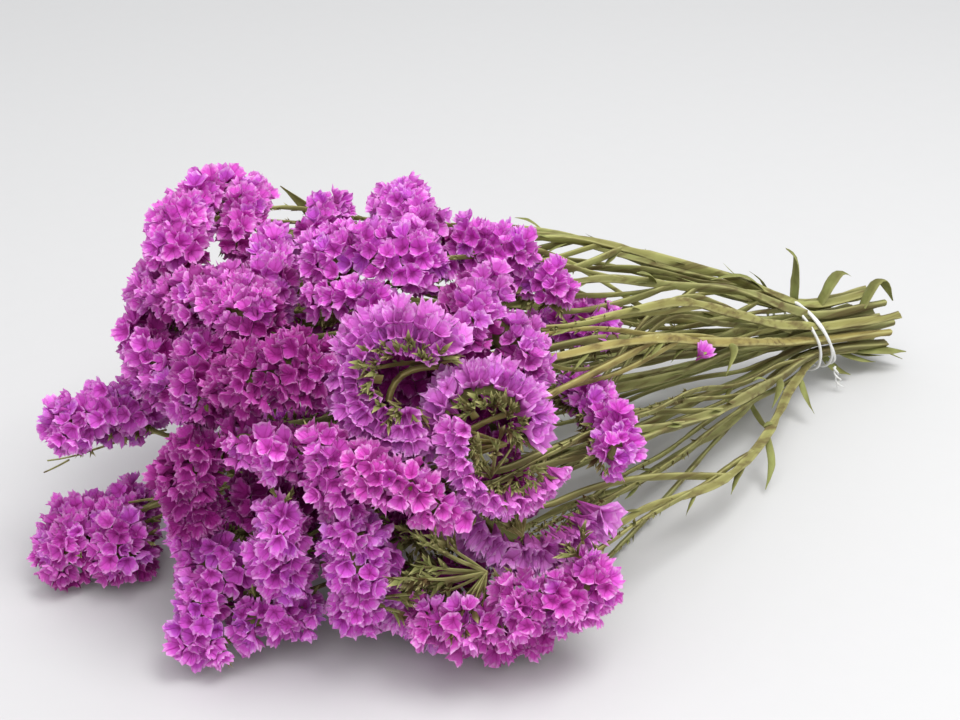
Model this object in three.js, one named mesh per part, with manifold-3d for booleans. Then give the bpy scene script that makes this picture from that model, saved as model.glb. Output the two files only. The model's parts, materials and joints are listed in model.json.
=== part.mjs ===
// Dried statice: a tied bunch of winged stems that fork into curved spikes of papery calyxes.
// It lies on its side. Millimetres, +Z up, +X along the bunch towards the cut ends.
// The bunch is laid out with the tie at X = 0 and then set down with its origin on the surface,
// below the middle of its box.

import * as THREE from 'three';
import { mergeVertices } from 'three/addons/utils/BufferGeometryUtils.js';
import Module from 'manifold-3d';

const wasm = await Module();
wasm.setup();

// ---- Driving dimensions ----

const TIE_HEIGHT = 39; // middle of the bundle above the surface, at the tie
const RISE = 0.15; // the bundle climbs towards the flowers
const DROP = 0.165; // and falls towards the cut ends
const SIDE_LEAN = 0.03;

const INNER_RING = { radius: 8.5, first: -5, slots: 6 }; // stems round the middle one, in the tie
const OUTER_RING = { radius: 17, first: -30, slots: 12 };
const STEM_RADIUS = 4.7; // to the edge of a wing, at the tie
const STEM_WAIST = 2.2; // between two wings
const STEM_TAPER = { from: 0.35, loss: 0.45 }; // share of its length where it starts, and of its radius
const BRANCH_RADIUS = 2.4;
const BRANCH_WAIST = 1.3;
const BRANCH_TAPER = 0.25;
const CUT_LENGTH = 56; // tie to cut end, give or take CUT_SPREAD
const CUT_SPREAD = 14;
const CUT_FLARE = 1.22; // how far the cut ends open out
const WING_SIDE = new THREE.Vector3(0, 0, 1); // one wing of every stem points up, so that they nest
const TIE_HALF = 7; // the stems run level through the tie for this far on both sides
const FORK_SHARE = 0.56; // where a side branch leaves, as a share of the way to its spike
const ARCHING = 0.16; // how far a stem bows out between the tie and its spike
const ARCH_STOPS = [0.18, 0.38, 0.6]; // where it does, as shares of the way
const SWING = { share: 0.55, depth: 0.04 }; // a branch swings in from below its spike, halfway

const SEAT_DEPTH = 0.15; // a branch ends this far behind its spike's middle, as a share of reach
const ENTRY_DEPTH = 0.95; // it comes in from this far behind the middle, and
const ENTRY_LEAD = 0.55; // from this far towards the tie
const CLEARANCE = 0.33; // between a spike and the branch that it sits on
const CURL_DEPTH = 6; // from the back of a curled spike to the branch that runs along it
const BRACT = { length: 9, radius: 2.1, tilt: 1.2, pairs: 2 }; // green spikelets on that branch
const LEAF_THICKNESS = 1.7;

const CALYX_SIZE = 9.3; // middle of a calyx to the next rim corner, larger than life
const THROAT_DEPTH = 0.5; // as a share of a spike's reach
const BACK_REACH = 0.66; // the green back of a spike is this much flatter than its front
const LOBE_RISE = 0.2; // a calyx rim's lobes stand above the reach, and its notches below
const RUFFLE = 0.1; // how unevenly they do
const UNEVEN = 0.3; // how unevenly the corners are spaced
const SWELL = 0.12; // how much a spike swells and narrows along its run
const REACH_MARGIN = 2; // calyx tips past half the spike's width
const CELL_GAP = 0.2; // from a calyx to the halfway plane of the next spray
const SOFT_BOW = 0.1; // a spike with no bow of its own arches by this share of its length
const BOW_FACING = 1.3; // how much the calyxes of a curled spike look out of its curl
const BACK_ANGLES = [1.7, 2.6]; // round a spike, where its front gives way to its back
const NEIGHBOUR_RANGE = 2.6; // in reaches: stations further off can't touch
const CAP_TIP = 0.8; // a spike's tip past its last station, as a share of reach

const BAND = { radius: 23.9, thickness: 1, tilt: 0.1, sides: 4, steps: 16 };

const MASS = { x: -345, y: 0, z: 100, rx: 140, ry: 140, rz: 105 }; // the flower mass
const SKYWARD = 0.35; // calyxes look this much further up than straight out of the mass

const MAGENTA = 0xb846b8;
const STEM_GREEN = 0x7c7f45;
const ELASTIC_WHITE = 0xf2f1ec;

// ---- The sprays, by the stem that carries them ----
// A spike has its middle, its run from end to end, its width, and how far its middle bows out.

const spike = (middle, run, width, bow = null) => ({ middle, run, width, bow });

const STEMS = {
  a0: {
    left_core: [spike([-459, -30, 103], [-3, 11, -36], 29)],
    low_core: [spike([-412, -42, 78], [32, -16, -8], 28)],
  },
  b1: {
    far_left: [spike([-470, 61, 96], [40, -5, 2], 33)],
    left_upper: [spike([-443, 48, 136], [-15, -54, -1], 33)],
    back_left: [spike([-412, 84, 82], [-30, 28, 6], 30)],
  },
  b2: {
    top_honeycomb: [spike([-422, 31, 165], [18, -78, 20], 35)],
    top_inner: [spike([-378, 38, 169], [-26, -54, 0], 26)],
  },
  b3: {
    middle_honeycomb: [spike([-418, -54, 161], [38, -22, 6], 34)],
    left_middle: [spike([-443, -15, 145], [-10, -24, -14], 30)],
  },
  b4: {
    small_cluster: [
      spike([-430, -64, 129], [24, -16, -6], 24),
      spike([-411, -92, 124], [10, -8, -26], 24),
    ],
  },
  b5: {
    front_left: [spike([-432, -71, 71], [10, 18, -46], 24)],
    front_tall: [spike([-405, -98, 65], [8, 8, -54], 28)],
    front_corner: [
      spike([-452, -26, 55], [14, -30, -20], 26),
      spike([-464, -41, 33], [-18, -20, -30], 30),
      spike([-438, -63, 28], [26, -13, 0], 25),
    ],
  },
  b6: {
    far_low: [
      spike([-495, 63, 24], [-18, -17, 0], 34),
      spike([-471, 53, 25], [-16, -28, 0], 38),
    ],
    under_left: [spike([-432, 2, 22], [36, 34, 0], 33)],
    under_middle: [spike([-352, 0, 17], [46, -8, 0], 30)],
  },
  c1: {
    back_middle: [spike([-375, 125, 78], [40, 8, -6], 32)],
    back_right: [spike([-298, 118, 82], [40, -22, 6], 30)],
  },
  c2: {
    back_top: [spike([-395, 116, 120], [-36, 30, -6], 28)],
    back_upper: [spike([-335, 128, 122], [44, 4, 0], 30)],
  },
  c3: {
    top_left: [
      spike([-397, 87, 188], [-55, -60, 0], 27),
      spike([-369, 88, 181], [-30, -49, 0], 25),
    ],
  },
  c4: {
    top_small: [spike([-334, 58, 182], [-18, -18, 0], 17)],
    top_back: [spike([-315, 102, 138], [40, 0, -4], 26)],
  },
  c5: {
    top_peak: [spike([-300, 20, 189], [-8, -34, 0], 25)],
    top_right: [spike([-272, -9, 172], [38, -14, -2], 24)],
  },
  c6: {
    crown: [
      spike([-345, -18, 190], [40, -19, -2], 30),
      spike([-364, -31, 177], [24, -16, -6], 25),
    ],
    top_right_low: [spike([-252, -19, 150], [30, -22, -2], 22)],
    loose_right: [spike([-215, -18, 111], [26, -12, 0], 24)],
  },
  c7: {
    upper_right: [
      spike([-319, -71, 172], [26, 26, 8], 27),
      spike([-303, -83, 157], [8, -24, -20], 27),
    ],
  },
  c8: {
    middle_curl: [spike([-376, -85, 163], [-21, -10, -36], 22, [-31, 16, -6])],
    middle_arch: [spike([-338, -109, 144], [36, -17, 6], 22, [10, 6, 18])],
  },
  c9: {
    front_pink: [spike([-385, -117, 119], [34, -18, -24], 24)],
    front_curl: [spike([-345, -126, 112], [38, -11, -27], 20, [-8, -4, -14])],
    right_loose: [spike([-247, -87, 95], [-18, -60, 0], 25)],
  },
  c10: {
    front_right: [spike([-324, -156, 52], [38, -8, 2], 32)],
    front_smile: [spike([-304, -111, 60], [57, -15, -11], 22, [-3, -6, -12])],
  },
  c11: {
    front_fan: [spike([-370, -98, 43], [30, -6, -46], 24, [-10, 2, -5])],
    front_low: [
      spike([-360, -138, 42], [38, -17, 0], 30),
      spike([-334, -134, 18], [30, -10, 0], 25),
    ],
  },
  c12: {
    under_back: [spike([-400, 98, 17], [44, 6, 0], 30)],
    under_back_right: [spike([-338, 104, 17], [40, -6, 0], 30)],
  },
};

// ---- Leaves, by the stem that they grow on ----
// A leaf has the place along the bunch of its root, its lead out of the stem, its bend and width.

const leaf = (root, lead, bend, width) => ({ root, lead, bend, width });

const LEAVES = {
  c3: [leaf(-318, [-12, 0, 13], [-12, 0, 5], 7), leaf(-286, [-20, -8, 12], [-18, -4, 4], 6)],
  c4: [leaf(12, [2, 3, 24], [-6, 2, 16], 7), leaf(-26, [-8, 0, 14], [-11, 2, 9], 4)],
  c5: [leaf(-30, [-22, -4, 12], [-20, -8, -6], 7), leaf(26, [10, 0, 13], [11, 0, -4], 5)],
  c6: [leaf(34, [8, -4, 15], [8, -3, -9], 5), leaf(-150, [-12, -8, 14], [-14, -6, 6], 5)],
  c8: [leaf(-118, [-10, -16, 6], [-14, -8, -10], 5)],
  c9: [leaf(-60, [-10, -13, 3], [-12, -6, -9], 5)],
  c10: [leaf(-30, [-6, -14, -8], [2, -7, -9], 5), leaf(-100, [-6, -14, -12], [-10, -6, -12], 5)],
  c11: [leaf(-74, [-2, -13, -8], [4, -8, -6], 4), leaf(34, [14, -8, -7], [14, -7, -1], 7)],
  c12: [leaf(30, [14, 12, -4], [12, 8, -3], 7)],
  c1: [leaf(-120, [-8, 16, 4], [-14, 9, -4], 6)],
  c2: [leaf(-170, [-14, 13, 8], [-14, 8, 0], 5)],
};

// ---- Small helpers ----

const vec = (x, y, z) => new THREE.Vector3(x, y, z);
const from = (list) => new THREE.Vector3(...list);
const mod = (number, base) => ((number % base) + base) % base;

function seeded(seed) {
  let state = seed;
  return () => {
    state = (Math.imul(state, 1664525) + 1013904223) >>> 0;
    return state / 4294967296;
  };
}

// The middle line of the bundle.
function axisAt(x) {
  const slope = x < 0 ? -RISE : -DROP;
  return vec(x, -3 + SIDE_LEAN * Math.min(x, 0), TIE_HEIGHT + slope * x);
}

function slotOffset(slot) {
  const place = Number(slot.slice(1));
  if (slot[0] === 'a') return vec(0, 0, 0);
  const ring = slot[0] === 'b' ? INNER_RING : OUTER_RING;
  const angle = THREE.MathUtils.degToRad(ring.first + ((place - 1) * 360) / ring.slots);
  return vec(0, Math.cos(angle) * ring.radius, Math.sin(angle) * ring.radius);
}

// A closed geometry as a solid, with its faces pointing out.
function solid(geometry) {
  const bare = geometry.clone();
  bare.deleteAttribute('normal');
  bare.deleteAttribute('uv');
  const merged = mergeVertices(bare, 1e-4);
  const points = merged.getAttribute('position').array;
  const corners = Array.from(merged.index.array);
  const faces = [];
  for (let i = 0; i < corners.length; i += 3) {
    const [a, b, c] = corners.slice(i, i + 3);
    if (a !== b && b !== c && c !== a) faces.push([a, b, c]);
  }
  const corner = (i) => vec(points[3 * i], points[3 * i + 1], points[3 * i + 2]);
  const volume = faces.reduce((sum, [a, b, c]) => sum + corner(a).dot(corner(b).cross(corner(c))), 0);
  const outward = volume > 0 ? faces : faces.map(([a, b, c]) => [a, c, b]);
  return new wasm.Manifold(
    new wasm.Mesh({
      numProp: 3,
      vertProperties: Float32Array.from(points),
      triVerts: Uint32Array.from(outward.flat()),
    }),
  );
}

function joined(solids) {
  return solids.reduce((whole, next) => whole.add(next));
}

// The largest body of a solid, without loose scraps.
function largest(body) {
  return body.decompose().reduce((best, next) => (next.volume() > best.volume() ? next : best));
}

// ---- Tubes ----

// A smooth line with one ring of the tube at each of its stops.
class Route extends THREE.CatmullRomCurve3 {
  constructor(stops, side = null) {
    super(stops);
    this.side = side;
  }

  getPointAt(u, target) {
    return this.getPoint(u, target);
  }

  getTangentAt(u, target) {
    return this.getTangent(u, target);
  }

  computeFrenetFrames(segments, closed) {
    const frames = super.computeFrenetFrames(segments, closed);
    if (this.side) {
      frames.normals = frames.tangents.map((tangent) => {
        return this.side.clone().addScaledVector(tangent, -this.side.dot(tangent)).normalize();
      });
      frames.binormals = frames.tangents.map((tangent, i) => tangent.clone().cross(frames.normals[i]));
    }
    return frames;
  }
}

// A winged section: the wings reach radius, and the skin between them reaches waist.
function wingedSection(wings, radius, waist) {
  const shape = new THREE.Shape();
  for (let i = 0; i < wings * 2; i += 1) {
    const reach = i % 2 === 0 ? radius : waist;
    const angle = (i * Math.PI) / wings;
    const point = [reach * Math.cos(angle), reach * Math.sin(angle)];
    if (i === 0) shape.moveTo(...point);
    else shape.lineTo(...point);
  }
  shape.closePath();
  return shape;
}

// A section swept along a route, with its size changing from ring to ring.
function sweep(section, route, sizeAt) {
  const steps = route.points.length - 1;
  const tube = new THREE.ExtrudeGeometry(section, {
    steps,
    curveSegments: 1,
    bevelEnabled: false,
    extrudePath: route,
  });
  const position = tube.getAttribute('position');
  const point = new THREE.Vector3();
  for (let i = 0; i < position.count; i += 1) {
    point.fromBufferAttribute(position, i);
    const distances = route.points.map((ring) => ring.distanceToSquared(point));
    const nearest = distances.indexOf(Math.min(...distances));
    const ring = route.points[nearest];
    point.sub(ring).multiplyScalar(sizeAt(nearest / steps)).add(ring);
    position.setXYZ(i, point.x, point.y, point.z);
  }
  return tube;
}

// ---- Spikes ----

// The middle line of a spike: an arc whose middle bows out from its ends.
class Arc extends THREE.Curve {
  constructor(middle, run, bow) {
    super();
    this.along = run.clone().normalize();
    const out = bow.clone().addScaledVector(this.along, -bow.dot(this.along));
    const rise = out.length();
    const half = run.length() / 2;
    this.out = out.normalize();
    this.radius = (half * half + rise * rise) / (2 * rise);
    this.turn = Math.atan2(half, this.radius - rise);
    this.centre = middle.clone().addScaledVector(this.out, rise / 2 - this.radius);
  }

  outwardAt(t) {
    const angle = this.turn * (2 * t - 1);
    return this.out.clone().multiplyScalar(Math.cos(angle)).addScaledVector(this.along, Math.sin(angle));
  }

  getPoint(t) {
    return this.centre.clone().addScaledVector(this.outwardAt(t), this.radius);
  }
}

// Out of the flower mass, and a little upward, from a point in it.
function outOfMass(point) {
  const { x, y, z, rx, ry, rz } = MASS;
  const out = vec((point.x - x) / rx ** 2, (point.y - y) / ry ** 2, (point.z - z) / rz ** 2).normalize();
  return out.add(vec(0, 0, SKYWARD)).normalize();
}

// A spike's line, with the point, the direction and the facing of each of its stations.
function layOutSpike({ middle, run, width, bow }) {
  const centre = from(middle);
  const bowed = bow ? from(bow) : outOfMass(centre).multiplyScalar(SOFT_BOW * from(run).length());
  const arc = new Arc(centre, from(run), bowed);
  const reach = width / 2 + REACH_MARGIN;
  const round = 3 * Math.max(3, Math.round((2 * Math.PI * reach) / (3 * CALYX_SIZE)));
  const pitch = ((2 * Math.PI * reach) / round) * Math.sin(Math.PI / 3);
  const spans = Math.max(1, Math.round(arc.getLength() / pitch));
  const stations = [];
  for (let i = 0; i <= spans; i += 1) {
    const point = arc.getPoint(i / spans);
    const along = arc.getTangent(i / spans);
    const facing = outOfMass(point);
    if (bow) facing.addScaledVector(arc.outwardAt(i / spans), BOW_FACING);
    facing.addScaledVector(along, -facing.dot(along)).normalize();
    stations.push({ point, along, facing });
  }
  return { arc, stations, reach, round, curled: bow !== null };
}

const GROUND = { normal: vec(0, 0, -1), limit: 0 };

// The half-spaces that keep what grows at a station on its own side of every other spray.
function cellOf(station, others, reach) {
  const walls = others
    .filter((other) => other.distanceTo(station.point) < NEIGHBOUR_RANGE * reach)
    .map((other) => {
      const normal = other.clone().sub(station.point);
      const limit = normal.length() / 2 - CELL_GAP;
      normal.normalize();
      return { normal, limit: limit + normal.dot(station.point) };
    });
  return [...walls, GROUND];
}

// How far out from a station a point may go and stay in every cell.
function shareInCells(root, offset, cells) {
  let share = 1;
  cells.flat().forEach(({ normal, limit }) => {
    const distance = offset.dot(normal);
    const room = limit - root.dot(normal);
    if (distance > room) share = Math.min(share, room / distance);
  });
  return Math.max(share, 0);
}

// A corner of the honeycomb on a spike: one throat to every two rim corners.
function cornerAt(layout, cells, ring, place, random) {
  const { stations, reach, round } = layout;
  const last = stations.length - 1;
  const inLine = (i) => Math.min(Math.max(i, 0), last);
  const station = stations[inLine(ring)];
  const cap = Math.sign(ring - inLine(ring));
  const kind = mod(place + ring, 3); // 0 for a throat, 1 for a lobe, 2 for a notch
  const turn = ((place - ring / 2 + (random() - 0.5) * UNEVEN) / round) * Math.PI * 2;
  const angle = mod(turn + Math.PI, Math.PI * 2) - Math.PI;
  const back = THREE.MathUtils.smoothstep(Math.abs(angle), ...BACK_ANGLES);
  const rise = [-THROAT_DEPTH, LOBE_RISE, -LOBE_RISE / 2][kind] + RUFFLE * (2 * random() - 1);
  const height = 1 + rise * (1 - 0.6 * back);
  const swell = 1 + SWELL * Math.sin(2.4 * ring + station.point.x);
  const outline = reach * swell * (1 - (1 - BACK_REACH) * back);
  const side = station.along.clone().cross(station.facing);
  const offset = station.facing.clone().multiplyScalar(Math.cos(angle));
  offset.addScaledVector(side, Math.sin(angle)).multiplyScalar(cap ? Math.SQRT1_2 : 1);
  offset.addScaledVector(station.along, cap * Math.SQRT1_2).multiplyScalar(outline * height);
  const near = [ring - 1, ring, ring + 1].map((i) => cells[inLine(i)]);
  return offset.multiplyScalar(shareInCells(station.point, offset, near)).add(station.point);
}

// A whole spike: a sphere's net of corners, laid along the spike and raised into calyxes.
function spikeBody(layout, others, random) {
  const { stations, reach, round } = layout;
  const cells = stations.map((station) => cellOf(station, others, reach));
  const rows = stations.length + 3;
  const net = new THREE.SphereGeometry(1, round, rows);
  const position = net.getAttribute('position');
  const put = (row, column, point) => {
    position.setXYZ(row * (round + 1) + column, point.x, point.y, point.z);
  };
  for (let row = 1; row < rows; row += 1) {
    for (let column = 0; column < round; column += 1) {
      const corner = cornerAt(layout, cells, row - 2, column, random);
      put(row, column, corner);
      if (column === 0) put(row, round, corner);
    }
  }
  [0, rows].forEach((row) => {
    const end = row === 0 ? 0 : stations.length - 1;
    const { point, along } = stations[end];
    const offset = along.clone().multiplyScalar((row === 0 ? -CAP_TIP : CAP_TIP) * reach);
    const tip = offset.multiplyScalar(shareInCells(point, offset, [cells[end]])).add(point);
    for (let column = 0; column <= round; column += 1) put(row, column, tip);
  });
  return solid(net);
}

function sprayBody(layouts, others, seed) {
  const random = seeded(seed);
  return joined(layouts.map((layout) => spikeBody(layout, others, random)));
}

// ---- Stems ----

const pointsOf = (layouts) => layouts.flatMap(({ stations }) => stations.map(({ point }) => point));

// Where a branch enters its spike: from behind, near the end that it comes to first.
function seatOf({ stations, reach }) {
  const first = stations[0];
  const last = stations[stations.length - 1];
  const ordered = first.point.x > last.point.x ? stations : [...stations].reverse();
  const { point, along, facing } = ordered[Math.min(1, ordered.length - 1)];
  const behind = (depth) => point.clone().addScaledVector(facing, -reach * depth);
  const entry = behind(ENTRY_DEPTH).addScaledVector(along, Math.sign(along.x) * reach * ENTRY_LEAD);
  return { entry, seat: behind(SEAT_DEPTH), facing };
}

// The branch behind a curled spike, from the end that it comes to first.
function curlStops({ stations, reach }) {
  const stops = stations.map(({ point, facing }) => {
    return point.clone().addScaledVector(facing, -reach * BACK_REACH - CURL_DEPTH);
  });
  const inner = stops.filter((_, i) => i % 3 === 0);
  return inner[0].x > inner[inner.length - 1].x ? inner : inner.reverse();
}

// The last stops of a branch: it comes up behind the spike and turns into it, or follows its curl.
function towardsSpike(start, layout) {
  const { entry, seat, facing } = seatOf(layout);
  const last = layout.curled ? curlStops(layout) : [entry, seat];
  const way = last[0].clone().sub(start);
  const halfway = start.clone().addScaledVector(way, SWING.share);
  return [halfway.addScaledVector(facing, -SWING.depth * way.length()), ...last];
}

function mainRoute(slot, layout, random) {
  const offset = slotOffset(slot);
  const base = towardsSpike(axisAt(0), layout)[1];
  const cut = CUT_LENGTH + CUT_SPREAD * (2 * random() - 1);
  const across = (x, size) => axisAt(x).addScaledVector(offset, size);
  const start = across(-TIE_HALF, 1);
  const stops = [across(cut, CUT_FLARE), across(TIE_HALF, 1), start];
  const outward = base.clone().sub(axisAt(base.x)).multiplyScalar(ARCHING);
  ARCH_STOPS.forEach((share) => {
    const stop = start.clone().lerp(base, share);
    stops.push(stop.addScaledVector(outward, Math.sin(Math.PI * share)));
  });
  return new Route([...stops, ...towardsSpike(stops[stops.length - 1], layout)], WING_SIDE);
}

const stemSize = (t) => 1 - STEM_TAPER.loss * THREE.MathUtils.smoothstep(t, STEM_TAPER.from, 1);
const branchSize = (t) => 1 - BRANCH_TAPER * t;

// The point of a stem at a place along the bunch.
function pointOn(route, x) {
  const { points } = route;
  const after = Math.max(1, points.findIndex((point) => point.x < x));
  const [before, next] = [points[after - 1], points[after]];
  return before.clone().lerp(next, (before.x - x) / (before.x - next.x));
}

function branchTube(stops) {
  const route = new Route(stops);
  return { route, wings: 2, radius: BRANCH_RADIUS, waist: BRANCH_WAIST, sizeAt: branchSize };
}

// A short stalk from the branch behind a curled spike into the spike.
function stalkTube(layout) {
  const { point, facing } = layout.stations[3 * Math.floor(layout.stations.length / 6)];
  const behind = (depth) => point.clone().addScaledVector(facing, -depth);
  return branchTube([behind(layout.reach * BACK_REACH + CURL_DEPTH), behind(layout.reach * SEAT_DEPTH)]);
}

// Every tube of a stem: the main one to its first spray, and a branch to each of the others.
function tubesOf(slot, spikes, random) {
  const main = mainRoute(slot, spikes[0], random);
  const tubes = [{ route: main, wings: 3, radius: STEM_RADIUS, waist: STEM_WAIST, sizeAt: stemSize }];
  spikes.slice(1).forEach((layout) => {
    const fork = pointOn(main, seatOf(layout).entry.x * FORK_SHARE);
    tubes.push(branchTube([fork, ...towardsSpike(fork, layout)]));
  });
  spikes.filter((layout) => layout.curled).forEach((layout) => tubes.push(stalkTube(layout)));
  return tubes;
}

const tubeBody = ({ route, wings, radius, waist, sizeAt }) =>
  solid(sweep(wingedSection(wings, radius, waist), route, sizeAt));

// The clear space round a tube, with straight sides from wing to wing.
function holeBody({ route, wings, radius, waist, sizeAt }) {
  const reach = wings === 3 ? radius + 2 * CLEARANCE : radius + CLEARANCE;
  const flat = wings === 3 ? reach / 2 : waist + CLEARANCE;
  const end = route.points[route.points.length - 1];
  const before = route.points[route.points.length - 2];
  const past = end.clone().add(end.clone().sub(before).setLength(CLEARANCE));
  const longer = new Route([...route.points.slice(0, -1), past], route.side);
  return solid(sweep(wingedSection(wings, reach, flat), longer, sizeAt));
}

// Pairs of green spikelets on the branch behind a curled spike.
function bractsOf({ stations, reach, curled }) {
  if (!curled) return [];
  const bracts = [];
  for (let i = 0; i < BRACT.pairs; i += 1) {
    const place = Math.round(((i + 0.5) / BRACT.pairs) * (stations.length - 1));
    const { point, along, facing } = stations[3 * Math.floor(place / 3)];
    const root = point.clone().addScaledVector(facing, -reach * BACK_REACH - CURL_DEPTH);
    const side = along.clone().cross(facing);
    [-1, 1].forEach((hand) => {
      const aim = facing.clone().multiplyScalar(Math.cos(BRACT.tilt));
      aim.addScaledVector(side, hand * Math.sin(BRACT.tilt));
      const cone = new THREE.ConeGeometry(BRACT.radius, BRACT.length, 3);
      cone.translate(0, BRACT.length / 2, 0);
      cone.applyQuaternion(new THREE.Quaternion().setFromUnitVectors(vec(0, 1, 0), aim));
      bracts.push(solid(cone.translate(root.x, root.y, root.z)));
    });
  }
  return bracts;
}

const leafSize = (t) => [0.6, 1, 0.85, 0.42][Math.round(t * 3)];

function leafBody(main, { root, lead, bend, width }) {
  const start = pointOn(main, root);
  const [out, over] = [from(lead), from(bend)];
  const elbow = start.clone().add(out);
  const stops = [start, start.clone().addScaledVector(out, 0.5), elbow, elbow.clone().add(over)];
  const route = new Route(stops, out.clone().cross(over).normalize());
  return solid(sweep(wingedSection(2, width / 2, LEAF_THICKNESS / 2), route, leafSize));
}

// ---- Elastic band ----

function bandRing(turn) {
  const ring = new THREE.TorusGeometry(BAND.radius, BAND.thickness, BAND.sides, BAND.steps);
  ring.rotateY(Math.PI / 2);
  ring.translate(0, 0, BAND.radius);
  ring.rotateY(turn * BAND.tilt);
  const middle = axisAt(0);
  ring.translate(middle.x, middle.y, middle.z - BAND.radius);
  return solid(ring);
}

// ---- Everything ----

const group = new THREE.Group();

function addNode(name, body, color, roughness) {
  const { vertProperties, triVerts } = body.getMesh();
  const geometry = new THREE.BufferGeometry();
  geometry.setAttribute('position', new THREE.BufferAttribute(vertProperties, 3));
  geometry.setIndex(new THREE.BufferAttribute(triVerts, 1));
  geometry.computeVertexNormals();
  const mesh = new THREE.Mesh(geometry, new THREE.MeshStandardMaterial({ color, roughness, metalness: 0 }));
  mesh.name = name;
  group.add(mesh);
}

const stems = Object.entries(STEMS).map(([slot, sprays], index) => {
  const laidOut = Object.entries(sprays).map(([name, spikes]) => {
    return { name, layouts: spikes.map(layOutSpike) };
  });
  const carried = laidOut.map(({ layouts }) => layouts[0]);
  const tubes = tubesOf(slot, carried, seeded(11 + index));
  const leaves = (LEAVES[slot] ?? []).map((blade) => leafBody(tubes[0].route, blade));
  return { slot, sprays: laidOut, tubes, green: [...carried.flatMap(bractsOf), ...leaves] };
});

const holes = stems.flatMap(({ tubes }) => tubes.map(holeBody));
const sprays = stems.flatMap((stem) => stem.sprays);

sprays.forEach((spray, index) => {
  const others = sprays.filter((other) => other !== spray).flatMap(({ layouts }) => pointsOf(layouts));
  const whole = sprayBody(spray.layouts, others, 100 + index);
  const clear = holes.reduce((body, hole) => body.subtract(hole), whole);
  addNode(`spray_${spray.name}`, largest(clear), MAGENTA, 0.75);
});

stems.forEach(({ slot, tubes, green }) => {
  addNode(`stem_${slot}`, joined([...tubes.map(tubeBody), ...green]), STEM_GREEN, 0.8);
});

addNode('elastic_band', bandRing(-1).add(bandRing(1)), ELASTIC_WHITE, 0.6);

// The origin is below the middle of the box, on the surface that the bunch lies on.
const box = new THREE.Box3().setFromObject(group);
const middle = box.getCenter(new THREE.Vector3());
group.position.set(-middle.x, -middle.y, -box.min.z);

export default group;
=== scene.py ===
"""Dried statice: a tied bunch of winged stems that fork into curved spikes of papery calyxes.

The bunch lies on its side. Metres, +Z up, +X along the bunch towards the cut ends. The plan of the
bunch has the tie at X = 0, and everything is made around the elastic band of the loaded frame.
"""

import json
import math
import random

import bpy
import numpy as np
from mathutils import Matrix, Vector, noise
from mathutils.bvhtree import BVHTree

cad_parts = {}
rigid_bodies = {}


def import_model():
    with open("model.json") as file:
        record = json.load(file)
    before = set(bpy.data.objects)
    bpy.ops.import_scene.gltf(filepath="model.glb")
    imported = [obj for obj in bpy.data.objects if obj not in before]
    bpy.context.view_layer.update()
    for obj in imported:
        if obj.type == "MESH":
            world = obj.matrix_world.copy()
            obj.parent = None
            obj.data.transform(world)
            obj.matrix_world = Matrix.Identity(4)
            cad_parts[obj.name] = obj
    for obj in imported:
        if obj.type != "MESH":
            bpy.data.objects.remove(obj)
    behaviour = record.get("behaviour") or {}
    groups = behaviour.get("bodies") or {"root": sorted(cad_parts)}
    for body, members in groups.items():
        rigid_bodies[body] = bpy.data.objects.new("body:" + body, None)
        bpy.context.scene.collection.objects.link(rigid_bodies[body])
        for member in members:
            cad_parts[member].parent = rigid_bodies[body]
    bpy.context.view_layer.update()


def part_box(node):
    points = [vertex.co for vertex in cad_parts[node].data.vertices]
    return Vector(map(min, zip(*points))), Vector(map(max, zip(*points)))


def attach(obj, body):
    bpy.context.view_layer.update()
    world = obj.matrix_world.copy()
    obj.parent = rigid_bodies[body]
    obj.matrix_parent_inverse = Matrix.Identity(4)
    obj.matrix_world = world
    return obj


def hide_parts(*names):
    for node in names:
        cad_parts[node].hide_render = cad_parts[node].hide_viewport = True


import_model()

bl_info = {
    "name": "Dried statice",
    "version": (1, 0, 0),
    "blender": (4, 5, 0),
    "location": "3D View > Sidebar > Statice",
    "description": "Builds a tied bunch of dried statice around its packed frame",
    "category": "Add Mesh",
}

# ---- The bundle of stems, in a plan with the tie at X = 0 ----

TIE_MIDDLE = Vector((0, -0.003, 0.039))
TIE_HALF = 0.007  # half the length of the tie
BAND_LOW, BAND_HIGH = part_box("elastic_band")
PLAN_ORIGIN = (BAND_LOW + BAND_HIGH) / 2 - TIE_MIDDLE
RISE = 0.15  # how steeply the bundle climbs towards the flowers
DROP = 0.165  # and falls towards the cut ends
SIDE_LEAN = 0.03
INNER_RING = (0.0085, -5, 6)  # radius, angle of the first stem in degrees, stems round
OUTER_RING = (0.017, -30, 12)
CUT_LENGTH = 0.056  # from the tie to the cut ends
CUT_SPREAD = 0.014
CUT_FLARE = 1.22  # how much wider the bundle is there
CUT_RAGGED = 0.02  # some dried ends stand out this far past the others
CUT_SHORTEST = -0.6  # and some fall short, by this share of it
STEM_RADIUS = 0.0047
STEM_SLIM = 0.74  # a dried stem fills this share of its solid
STEM_TAPER_FROM = 0.35
STEM_TAPER_LOSS = 0.45
BRANCH_RADIUS = 0.0024
BRANCH_TAPER = 0.25
FORK_SHARE = 0.56  # how far on the way to its spike a branch leaves the stem
ARCHING = 0.16  # how far a stem bows out on its way
ARCH_STOPS = (0.18, 0.38, 0.6)
SWING_SHARE = 0.55  # where a branch swings towards its spike, and how far behind it
SWING_DEPTH = 0.04
ENTRY_DEPTH = 0.95  # where it comes in behind the spike, in reaches of the spike
ENTRY_LEAD = 0.55
SEAT_DEPTH = 0.15  # and how deep it ends
CURL_DEPTH = 0.006

# ---- The spikes ----

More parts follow.
